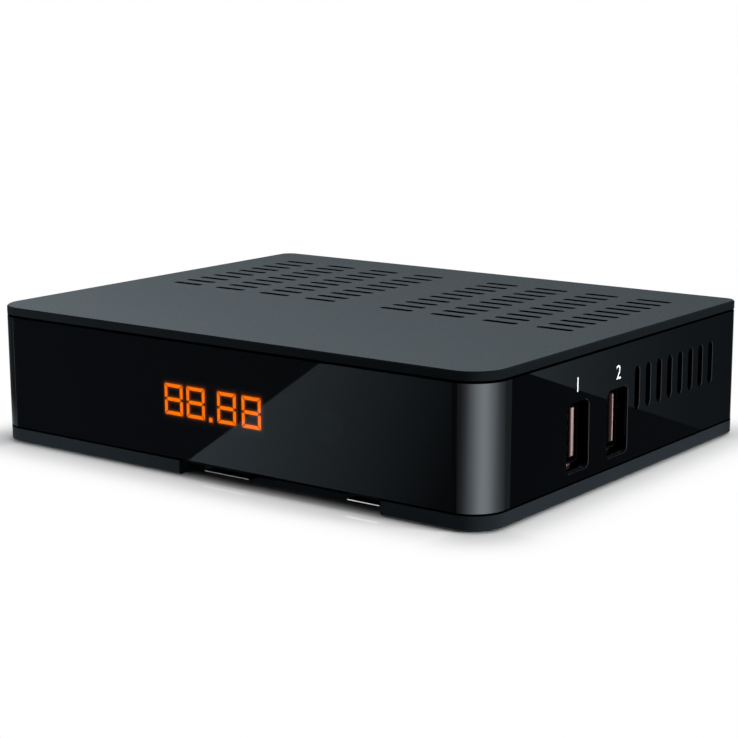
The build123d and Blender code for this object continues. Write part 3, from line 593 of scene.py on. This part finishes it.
def dress_cad_nodes():
    """Gives every CAD node the finish of its material slot, or its own variant of that finish."""
    for name, node in NODES.items():
        for slot in node.material_slots:
            slot.material = OWN_FINISHES.get(name) or FINISHES[slot.material.name.split(".")[0]]


# ---------------------------------------------------------------- smooth copies of band, lens and lid

SHARP_ANGLE = 31.0  # faces that meet at more than this many degrees keep a sharp edge
MERGE_WITHIN = 1e-6  # metres


def smooth_copy(node, name):
    """The node's shape with one normal at each point, so that round corners meet flat faces smoothly."""
    mesh = NODES[node].data.copy()
    mesh.name = name
    shape = bmesh.new()
    shape.from_mesh(mesh)
    bmesh.ops.remove_doubles(shape, verts=shape.verts, dist=MERGE_WITHIN)
    shape.to_mesh(mesh)
    shape.free()
    if "custom_normal" in mesh.attributes:
        mesh.attributes.remove(mesh.attributes["custom_normal"])
    mesh.polygons.foreach_set("use_smooth", np.ones(len(mesh.polygons), bool))
    mesh.set_sharp_from_angle(angle=math.radians(SHARP_ANGLE))
    piece = bpy.data.objects.new(name, mesh)
    bpy.context.scene.collection.objects.link(piece)
    even = piece.modifiers.new("even_normals", "WEIGHTED_NORMAL")
    even.keep_sharp = True
    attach(piece, "case")
    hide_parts(node)
    return piece


NEAR = 0.02  # a point this near a height or an outline is on it, in mm


def read_points(piece):
    """The piece's points as (n, 3) arrays, in metres and in case millimetres."""
    places = np.empty(len(piece.data.vertices) * 3)
    piece.data.vertices.foreach_get("co", places)
    places = places.reshape(-1, 3)
    return places, in_case(places)


def write_points(piece, places):
    """Moves the piece's points to places, in metres."""
    piece.data.vertices.foreach_set("co", places.ravel())


MOVED_EDGES = (  # height in the solids and in the copies
    (BAND_LOW, LOWER_EDGE),
    (BAND_LOW + BEVEL, LOWER_EDGE + CRISP_BEVEL),
    (BAND_HIGH - BEVEL, BAND_HIGH - CRISP_BEVEL),
)


def sharpen_long_edges(piece):
    """Draws the bevels along the lower and upper edges crisp, and brings the outer faces down to LOWER_EDGE.
    A point is on an outer face or bevel when it lies less than RECESS inside the case's outline."""
    places, points = read_points(piece)
    beyond = np.abs(points[:, :2]) - (HALF_W - CORNER_R, HALF_D - CORNER_R)
    inset = CORNER_R - np.hypot(*np.maximum(beyond, 0).T) - np.minimum(beyond.max(1), 0)
    for height, moved in MOVED_EDGES:
        chosen = (np.abs(points[:, 2] - height) < NEAR) & (inset < RECESS)
        places[chosen, 2] = row((0, 0, moved))[2]
    write_points(piece, places)


LID_SLOT_COLUMNS = np.array([side * x for side in (-1, 1) for x in (11.5, 26.0, 40.4, 54.8)])
LID_SLOT_FIRST_Y, LID_SLOT_PITCH, LID_SLOT_ROWS = -4.1, 5.0, 10
LID_SLOT_LONG, LID_SLOT_WIDE = 8.9, 1.4  # in the solids
LID_SLOT_LONGER, LID_SLOT_WIDER = 0.4, 0.5  # by so much in the copy
LID_SLOT_RIGHT, LID_SLOT_RIGHT_FALL, LID_SLOT_BACK_FALL = 0.22, 0.003, 0.0073


def widen_lid_slots(lid):
    """Widens and lengthens the lid's slots about their middles and shifts each column a little: a column at x
    moves by 0.22 - 0.003 x to the right and by -0.0073 x to the back."""
    places, points = read_points(lid)
    x, y = points[:, 0], points[:, 1]
    column = LID_SLOT_COLUMNS[np.abs(x[:, None] - LID_SLOT_COLUMNS).argmin(1)]
    number = np.clip(np.round((y - LID_SLOT_FIRST_Y) / LID_SLOT_PITCH), 0, LID_SLOT_ROWS - 1)
    along = x - column
    across = y - LID_SLOT_FIRST_Y - number * LID_SLOT_PITCH
    chosen = (np.abs(along) < LID_SLOT_LONG / 2 + NEAR) & (np.abs(across) < LID_SLOT_WIDE / 2 + NEAR)
    right = along * LID_SLOT_LONGER / LID_SLOT_LONG + LID_SLOT_RIGHT - LID_SLOT_RIGHT_FALL * column
    back = across * LID_SLOT_WIDER / LID_SLOT_WIDE - LID_SLOT_BACK_FALL * column
    places[chosen, 0] += right[chosen] * MM
    places[chosen, 1] += back[chosen] * MM
    write_points(lid, places)


SOCKET_TOP_DROP = 0.7
# The points of a cut-out's upper end lie within this reach of the socket's middle, beyond this x and between
# these heights.
SOCKET_REACH, SOCKET_INNER_X, SOCKET_TOP_Z = 5.0, 60.0, (17.5, 22.5)


def lower_socket_tops(band):
    """Brings the upper ends of the two socket cut-outs in the right side down by SOCKET_TOP_DROP."""
    places, points = read_points(band)
    x, y, z = points.T
    chosen = (np.abs(y[:, None] - SOCKET_MIDDLES).min(1) < SOCKET_REACH) & (x > SOCKET_INNER_X)
    chosen &= (z > SOCKET_TOP_Z[0]) & (z < SOCKET_TOP_Z[1])
    places[chosen, 2] -= SOCKET_TOP_DROP * MM
    write_points(band, places)


PRINT_DEPTH = 0.02  # how far the band's flat sides lie inside its box: the thickness of the print


def sink_sides(band):
    """Moves the flat side faces in by the print's thickness, so the print's face lies on the solid's side."""
    places, _ = read_points(band)
    limit = (HALF_W - PRINT_DEPTH) * MM
    places[:, 0] = np.clip(places[:, 0], -limit, limit)
    write_points(band, places)


# ---------------------------------------------------------------- new pieces


def surface_piece(name, points, faces, slot):
    """A smooth piece from case millimetres: points as an (n, 3) array and faces as rows of point numbers."""
    mesh = bpy.data.meshes.new(name)
    mesh.from_pydata(row(points).tolist(), [], faces.tolist())
    mesh.polygons.foreach_set("use_smooth", np.ones(len(mesh.polygons), bool))
    mesh.materials.append(FINISHES[slot])
    mesh.validate()
    piece = bpy.data.objects.new(name, mesh)
    bpy.context.scene.collection.objects.link(piece)
    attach(piece, "case")
    return piece


def grid_faces(rows, columns, close_columns=False):
    """Quads of a grid of points stored row by row; closed columns join each row's last point to its first."""
    quads = columns if close_columns else columns - 1
    grids = np.meshgrid(np.arange(rows - 1) * columns, np.arange(quads), indexing="ij")
    start, left = (grid.ravel() for grid in grids)
    right = (left + 1) % columns
    below = start + columns
    return np.stack([start + left, start + right, below + right, below + left], 1)


NUMERAL_HEIGHT = 3.1
NUMERALS = (  # name, digit, and its middle in y and z
    ("usb_numeral_front", "1", (-19.85, 24.25)),
    ("usb_numeral_rear", "2", (-2.75, 24.05)),
)


def printed_numeral(name, digit, middle):
    """A white numeral printed on the right side, about a middle in y and z."""
    data = bpy.data.curves.new(name, "FONT")
    data.body = digit
    data.resolution_u = 6
    text = bpy.data.objects.new(name, data)
    bpy.context.scene.collection.objects.link(text)
    bpy.context.view_layer.update()
    shape = bpy.data.meshes.new_from_object(text.evaluated_get(bpy.context.evaluated_depsgraph_get()))
    bpy.data.objects.remove(text)
    flat = np.empty(len(shape.vertices) * 3)
    shape.vertices.foreach_get("co", flat)
    flat = flat.reshape(-1, 3)[:, :2]
    low, high = flat.min(0), flat.max(0)
    flat = (flat - (low + high) / 2) * NUMERAL_HEIGHT / (high[1] - low[1]) + middle
    shape.vertices.foreach_set("co", row(np.c_[np.full(len(flat), HALF_W), flat]).ravel())
    shape.materials.clear()
    shape.materials.append(PRINT_FINISH)
    piece = bpy.data.objects.new(name, shape)
    bpy.context.scene.collection.objects.link(piece)
    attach(piece, "case")


DIGIT_W, DIGIT_H, STROKE = 5.37, 7.05, 0.8
DIGIT_X, DIGIT_Z = (-14.22, -7.68, 1.38, 8.45), 16.0
POINT_X, POINT_Z, POINT_SIDE = -3.3, 12.8, 0.95
DISPLAY_X, DISPLAY_W, DISPLAY_H = -2.9, 30.2, 10.2
GLOW_Y, GLOW_MARGIN, GLOW_STEP, GLOW_REACH = -52.61, 0.1, 0.08, 0.2
GLOW_UNDER, GLOW_RISE = 0.15, 0.1  # share of the glow under a bar, and how far from it the glow is whole


def display_glow():
    """Thin film on the display's face with a painted glow round the light bars. Each point glows by
    exp(-d / reach), where d is its distance from the nearest light bar, taken as a line of the digit's
    skeleton with half a stroke about it. Behind the bars and in the gaps between them it is nearly dark."""
    half_wide, half_high = DISPLAY_W / 2 - GLOW_MARGIN, DISPLAY_H / 2 - GLOW_MARGIN
    x = np.arange(DISPLAY_X - half_wide, DISPLAY_X + half_wide, GLOW_STEP)
    z = np.arange(DIGIT_Z - half_high, DIGIT_Z + half_high, GLOW_STEP)
    across, up = np.meshgrid(x, z)
    half_w, half_h = (DIGIT_W - STROKE) / 2, (DIGIT_H - STROKE) / 2
    nearest = np.hypot(
        np.maximum(np.abs(across - POINT_X) - POINT_SIDE / 2, 0),
        np.maximum(np.abs(up - POINT_Z) - POINT_SIDE / 2, 0),
    )
    for middle in DIGIT_X:
        u, v = np.abs(across - middle), np.abs(up - DIGIT_Z)
        upright = np.hypot(u - half_w, np.maximum(v - half_h, 0))
        level = np.hypot(np.maximum(u - half_w, 0), np.minimum(v, np.abs(v - half_h)))
        nearest = np.minimum(nearest, np.maximum(np.minimum(upright, level) - STROKE / 2, 0))
    glow = np.exp(-nearest / GLOW_REACH) * np.clip(GLOW_UNDER + nearest / GLOW_RISE, 0, 1)
    points = np.stack([across, np.full_like(across, GLOW_Y), up], 2).reshape(-1, 3)
    piece = surface_piece("display_glow", points, grid_faces(len(z), len(x)), "lit_segment")
    data = piece.data.attributes.new("glow", "FLOAT", "POINT")
    data.data.foreach_set("value", glow.ravel())
    piece.data.materials.clear()
    piece.data.materials.append(GLOW_FINISH)


AERIAL_X, AERIAL_Z = -49.5, 13.2
AERIAL_FOOT, AERIAL_TIP = (corner[1] for corner in corners("aerial_socket"))
AERIAL_STEP, AERIAL_FLOOR = 56.4, 55.0  # y where the thread begins, and of a ring of points in the bore
AERIAL_CREST, AERIAL_ROOT, AERIAL_SHANK, AERIAL_MOUTH, AERIAL_BORE = 4.76, 4.33, 4.6, 4.26, 3.3  # radii
THREAD_PITCH = 25.4 / 32
THREAD_LEAD_IN, MOUTH_CHAMFER, MOUTH_BEVEL = 0.5, 0.5, 0.15
THREAD_FLAT = 0.1875  # share of the wave that is cut flat at the crest, and as much at the root
THREAD_SHARP = 40.0  # degrees
POINTS_ROUND, POINTS_ALONG = 96, 150


def aerial_barrel():
    """Screwed barrel of the aerial socket, a turned form whose radius is a function of turn and length:
    under the nut it is plain, and beyond it a 32 per inch thread rises and falls as a triangle wave of
    (length / pitch - turn) with flat crests and roots, faded in at the start and chamfered at the mouth."""
    turn = np.linspace(0, 1, POINTS_ROUND, endpoint=False)
    y = np.linspace(AERIAL_STEP, AERIAL_TIP, POINTS_ALONG)[:, None]
    wave = np.abs(2 * ((y / THREAD_PITCH - turn) % 1) - 1)
    wave = np.clip((wave - THREAD_FLAT) / (1 - 2 * THREAD_FLAT), 0, 1)
    wave = wave * np.clip((y - AERIAL_STEP) / THREAD_LEAD_IN, 0, 1)
    thread = AERIAL_CREST - (AERIAL_CREST - AERIAL_ROOT) * (1 - wave)
    thread = np.minimum(thread, AERIAL_CREST - MOUTH_CHAMFER + (AERIAL_TIP - y))
    plain = np.array([(AERIAL_BORE, AERIAL_FOOT), (AERIAL_SHANK, AERIAL_FOOT), (AERIAL_SHANK, AERIAL_STEP)])
    mouth = np.array([
        (AERIAL_MOUTH, AERIAL_TIP), (AERIAL_BORE + MOUTH_BEVEL, AERIAL_TIP),
        (AERIAL_BORE, AERIAL_TIP - MOUTH_BEVEL), (AERIAL_BORE, AERIAL_FLOOR), (AERIAL_BORE, AERIAL_FOOT),
    ])
    radius = np.concatenate([plain[:, :1].repeat(len(turn), 1), thread, mouth[:, :1].repeat(len(turn), 1)])
    length = np.concatenate([plain[:, 1:], y, mouth[:, 1:]]).repeat(len(turn), 1)
    angle = 2 * np.pi * turn
    points = np.stack([AERIAL_X + radius * np.sin(angle), length, AERIAL_Z + radius * np.cos(angle)], 2)
    faces = grid_faces(len(radius), len(turn), close_columns=True)
    piece = surface_piece("aerial_barrel", points.reshape(-1, 3), faces, "bright_metal")
    piece.data.set_sharp_from_angle(angle=math.radians(THREAD_SHARP))
    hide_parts("aerial_socket")


# ---------------------------------------------------------------- stage, in metres

SLATE = (0.805, 1.0, 1.127)
EDGE_SOFT = 0.0008
ARC_STEPS = 100


def emitter(name, colour):
    """A material of one Emission shader."""
    material = bpy.data.materials.new(name)
    material.use_nodes = True
    tree = material.node_tree
    tree.nodes.remove(tree.nodes["Principled BSDF"])
    light = tree.nodes.new("ShaderNodeEmission")
    feed(light, Color=colour)
    tree.links.new(light.outputs[0], tree.nodes["Material Output"].inputs["Surface"])
    return material, tree, light


def stage_piece(name, points, faces, material):
    """A piece of the stage, which is no part of the object."""
    mesh = bpy.data.meshes.new(name)
    mesh.from_pydata(points, [], faces)
    mesh.materials.append(material)
    card = bpy.data.objects.new(name, mesh)
    bpy.context.scene.collection.objects.link(card)
    return card


def upright_card(name, plan, heights, material):
    """An upright strip along a line of (x, y) points, between two heights, seen only in reflections."""
    points = np.concatenate([np.c_[plan, np.full(len(plan), height)] for height in heights])
    first = np.arange(len(plan) - 1)
    faces = np.stack([first, first + 1, first + 1 + len(plan), first + len(plan)], 1)
    card = stage_piece(name, points.tolist(), faces.tolist(), material)
    card.visible_camera = card.visible_diffuse = card.visible_shadow = False
    card.visible_transmission = card.visible_volume_scatter = False


def arc(azimuths, radius):
    """Points of an arc about the origin, between two azimuths from +X in degrees."""
    turn = np.radians(np.linspace(*azimuths, ARC_STEPS + 1))
    return radius * np.stack([np.cos(turn), np.sin(turn)], 1)


def half_plane(u, v, point, toward):
    """0 to 1 across a line through point, rising toward one side over EDGE_SOFT."""
    distance = (u - point[0]) * toward[0] + (v - point[1]) * toward[1]
    return distance.ramp(-EDGE_SOFT / 2, EDGE_SOFT / 2)


FRONT_PLAN, FRONT_HEIGHTS = ((-1.0, -0.6), (-0.27, -0.6)), (-0.7, 0.5)
FRONT_EDGE = (-0.4071, -0.1114), (0.5751, -0.8182)  # a point (x, z) of the edge, the way to the bright side
FRONT_DARK = 0.088
FRONT_FADE = 3.95  # brightness gained to the metre, left of a line
FRONT_FADE_FROM, FRONT_FADE_LEAN = (-0.3157, -0.1777), 0.38  # a point (x, z) of the line, its slope x / z


def front_card():
    """Slate board in front, whose slanting edge and fade to the right show in the gloss front: on the edge's
    bright side its brightness grows evenly to the left of a line, and elsewhere it is dark."""
    material, tree, light = emitter("front_card", SLATE)
    x, _, z = axes(tree)
    edge = half_plane(x, z, *FRONT_EDGE)
    reach = (z - FRONT_FADE_FROM[1]) * FRONT_FADE_LEAN + FRONT_FADE_FROM[0]
    fade = ((reach - x) * FRONT_FADE).at_least(0.0)
    feed(light, Strength=edge * fade + FRONT_DARK)
    upright_card("front_card", FRONT_PLAN, FRONT_HEIGHTS, material)


SIDE_PLAN, SIDE_HEIGHTS = ((0.6, 0.775), (0.6, 1.6)), (-0.8, 0.6)
SIDE_EDGE = (0.8189, -0.1825), (0.3221, 0.9467)  # a point (y, z) of the edge, the way to the bright side
SIDE_DARK, SIDE_GAIN = 0.032, 0.178
SIDE_FADE_FROM, SIDE_FADE_REACH = 0.8448, 0.14  # y where it is brighter by the gain, and the fade's length


def side_card():
    """Slate board at the right, whose slanting edge shows in the gloss side: on the edge's bright side it is
    brighter by gain exp(-d / reach), with d the way back."""
    material, tree, light = emitter("side_card", SLATE)
    _, y, z = axes(tree)
    edge = half_plane(y, z, *SIDE_EDGE)
    fade = ((SIDE_FADE_FROM - y) * (1.0 / SIDE_FADE_REACH)).exp() * SIDE_GAIN
    feed(light, Strength=edge * fade + SIDE_DARK)
    upright_card("side_card", SIDE_PLAN, SIDE_HEIGHTS, material)


WALL_AZIMUTHS, WALL_RADIUS, WALL_HEIGHTS = (-235, 80), 2.0, (-1.6, 4.5)
WALL_TINT = (0.90, 1.0, 1.08)
FOOT_Z, FOOT_SLOPE, FOOT_MOST = -0.405, 6.5, 0.6  # the foot begins below it, per metre down, and at most
FOOT_SPAN = (0.22, 0.27)  # share of the way round over which the light of the foot ends
CORNER_LIGHT = (  # azimuth from +X in degrees, brightness
    (-235, 0.065), (-125, 0.065), (-112, 0.075), (-97, 0.15), (-87, 0.42), (-77, 0.80), (-67, 1.45),
    (-57, 2.20), (-47, 3.10), (-37, 3.90), (-27, 4.25), (-17, 3.95), (-7, 3.20), (3, 2.35),
    (13, 1.65), (23, 1.05), (33, 0.65), (43, 0.42), (55, 0.14), (65, 0.028), (80, 0.028),
)


def round_wall():
    """Dark wall round the front, left and right, with one tall soft light that shows in the gloss corner. Its
    brightness is a curve of the azimuth. At the left it is lighter toward its foot."""
    material, tree, light = emitter("round_wall", WALL_TINT)
    x, y, z = axes(tree)
    first, last = WALL_AZIMUTHS
    middle, half = math.radians((first + last) / 2), math.radians((last - first) / 2)
    along = x * math.cos(middle) + y * math.sin(middle)
    across = y * math.cos(middle) - x * math.sin(middle)
    share = math_node(tree, "ARCTAN2", across, along).ramp(-half, half)
    peak = max(value for _, value in CORNER_LIGHT)
    stops = [((angle - first) / (last - first), value / peak) for angle, value in CORNER_LIGHT]
    foot = ((FOOT_Z - z).at_least(0.0) * FOOT_SLOPE * share.fall(*FOOT_SPAN)).at_most(FOOT_MOST)
    feed(light, Strength=share.curve(stops) * peak + foot)
    upright_card("round_wall", arc(WALL_AZIMUTHS, WALL_RADIUS), WALL_HEIGHTS, material)


REAR_AZIMUTHS, REAR_RADIUS, REAR_HEIGHTS = (85, 168), 1.0, (0.02, 1.2)
REAR_TINT = (0.85, 1.0, 1.09)
REAR_MIDDLE, REAR_LEVEL = 127.0, -3.6  # an azimuth, and the sum that the brightness starts from there
REAR_LEAST = 0.05
REAR_PER_DEGREE, REAR_PER_METRE = 0.024, 13.0  # to the left and up


def rear_card():
    """Grey board behind at the left, whose light is the sheen on the lid: its brightness grows evenly upward
    and to the left."""
    material, tree, light = emitter("rear_card", REAR_TINT)
    x, y, z = axes(tree)
    azimuth = math_node(tree, "ARCTAN2", y, x) * (180 / math.pi)
    level = (azimuth - REAR_MIDDLE) * REAR_PER_DEGREE + REAR_LEVEL + z * REAR_PER_METRE
    feed(light, Strength=level.at_least(REAR_LEAST))
    upright_card("rear_card", arc(REAR_AZIMUTHS, REAR_RADIUS), REAR_HEIGHTS, material)


def seen_directly(tree):
    """1 for camera, glossy and transmission rays, 0 for the rest."""
    path = tree.nodes.new("ShaderNodeLightPath")
    rays = ("Is Camera Ray", "Is Glossy Ray", "Is Transmission Ray")
    return largest(Field(tree, path.outputs[name]) for name in rays)


WORLD_LEVEL = 0.5  # of the light that the surroundings give the object, where 1 is white


def make_world():
    """Even white surroundings; what is seen directly is exactly white."""
    world = bpy.data.worlds.new("world")
    bpy.context.scene.world = world
    world.use_nodes = True
    tree = world.node_tree
    strength = seen_directly(tree).ramp(0.0, 1.0, WORLD_LEVEL, 1.0)
    feed(tree.nodes["Background"], Color=(1.0, 1.0, 1.0), Strength=strength)


FLOOR_HALF = 6.0  # metres
# The floor's painted shadow in its colour: spans of the distance from the case's outline in mm, each with
# its two tones.
BENEATH, AT_EDGE = (-4.0, -0.3, 0.05, 0.76), (0.0, 1.2, 0.0, 0.24)
CORNER_TONE, SIDE_TONE = 0.80, 0.84  # shares of that tone off the corners and beside the case: more painted shadow there
CORNER_LIFT = 0.41  # share of the near rise off the corners
# Of each pair, the first holds in front and behind, and the second beside the case.
NEAR_LIFT, NEAR_MM = (0.42, 0.2), (2.0, 1.6)
FAR_POWER, FAR_MM = (2.6, 2.2), (10.5, 8.3)
# Painted reflections of the reader's plates, as pale strips on the floor: ends in x, how far ahead of the
# case, and how pale.
PLATE_REFLECTIONS = (((-1.0, 11.7), 3.4, 0.35), ((38.7, 47.0), 3.75, 0.6))


def plate_reflections(x, y):
    """What the two painted reflections of the reader's plates leave of the shadow: 1 beside them."""
    left = 1.0
    for (start, end), ahead, amount in PLATE_REFLECTIONS:
        middle, half = (start + end) / 2, (end - start) / 2
        within = abs(x - middle).ramp(half - 0.3, half + 0.3, amount, 0.0)
        strip = within * abs(y + (HALF_D + ahead)).fall(0.15, 0.55)
        left = (1.0 - strip) * left
    return left


def make_floor():
    """White floor that keeps the object's shadow, with painted shadow added to it. Its colour is darkened
    under the case, and a little more beside the case and round its corners than in front of it. What is seen
    directly goes over to plain white within 2 cm of the case, as 1 - exp(-(near + far)), where near is a
    quick small rise, as
    1 - exp(-distance squared), and far goes by a power of the distance: a painted fall-off of the real
    shadow.
    Both come a little sooner beside the case than in front of it. Two painted reflections of the reader's
    plates lighten the shadow."""
    material, tree, shader = new_finish("floor", Roughness=0.12, Specular_IOR_Level=0.2)
    x, y, _ = case_axes(tree)
    distance, sideways = from_case(x, y)
    oblique = sideways * (1.0 - sideways)
    beside = sideways * sideways
    tone = (distance.ramp(*BENEATH) + distance.ramp(*AT_EDGE)) * noise(tree, 3.0).over(0.955, 0.965)
    tone = tone * oblique.ramp(0.0, 0.25, 1.0, CORNER_TONE) * beside.ramp(0.0, 1.0, 1.0, SIDE_TONE)
    feed(shader, Base_Color=tone)
    outside = distance.at_least(0.0)
    lift = beside.ramp(0.0, 1.0, *NEAR_LIFT) * oblique.ramp(0.0, 0.25, 1.0, CORNER_LIFT)
    near = outside / beside.ramp(0.0, 1.0, *NEAR_MM)
    near = (1.0 - (-(near * near)).exp()) * lift
    far = (outside / beside.ramp(0.0, 1.0, *FAR_MM)) ** beside.ramp(0.0, 1.0, *FAR_POWER)
    shadow = (-(near + far)).exp() * plate_reflections(x, y)
    white = tree.nodes.new("ShaderNodeEmission")
    mix = tree.nodes.new("ShaderNodeMixShader")
    feed(mix, Fac=seen_directly(tree) * (1.0 - shadow))
    tree.links.new(shader.outputs[0], mix.inputs[1])
    tree.links.new(white.outputs[0], mix.inputs[2])
    tree.links.new(mix.outputs[0], tree.nodes["Material Output"].inputs["Surface"])
    half = FLOOR_HALF
    outline = [(-half, -half, 0), (half, -half, 0), (half, half, 0), (-half, half, 0)]
    floor = stage_piece("floor", outline, [(0, 1, 2, 3)], material)
    floor.visible_glossy = False


LAMPS = (  # name, place, aim, diameter, brightness on a face turned to it at its aim, beam in degrees
    ("top_lamp", (0.1, 0.3, 1.3), (0, 0, 0), 1.2, 0.45, 180),
    ("right_lamp", (1.1, 0.30, 0.14), (0, 0, 0), 0.3, 2.0, 180),
    ("left_lamp", (-0.16, -0.22, 0.015), (-0.050, -0.06, 0.02), 0.03, 3.6, 50),
)


def make_lamps():
    """Soft round lamps. A lamp of power P with a full beam lights a face at distance d by P over (pi d)
    squared, and a narrower beam needs less power, by the square of the tangent of a quarter of it."""
    for name, place, aim, size, level, beam in LAMPS:
        data = bpy.data.lights.new(name, "AREA")
        data.shape, data.size = "DISK", size
        data.spread = math.radians(beam)
        toward = Vector(aim) - Vector(place)
        data.energy = level * math.pi**2 * toward.length_squared * math.tan(data.spread / 4) ** 2
        lamp = bpy.data.objects.new(name, data)
        bpy.context.scene.collection.objects.link(lamp)
        lamp.location = place
        lamp.rotation_euler = toward.to_track_quat("-Z", "Y").to_euler()
        lamp.visible_glossy = lamp.visible_camera = False


# ---------------------------------------------------------------- the whole scene

make_camera()
dress_cad_nodes()

band = smooth_copy("gloss_band", "band_smooth")
lens = smooth_copy("front_lens", "lens_smooth")
lid = smooth_copy("top_cover", "lid_smooth")
sharpen_long_edges(band)
sharpen_long_edges(lens)
lower_socket_tops(band)
sink_sides(band)
widen_lid_slots(lid)

for numeral in NUMERALS:
    printed_numeral(*numeral)
display_glow()
aerial_barrel()

make_world()
make_floor()
make_lamps()
front_card()
side_card()
round_wall()
rear_card()

bpy.context.scene.view_settings.view_transform = "Standard"
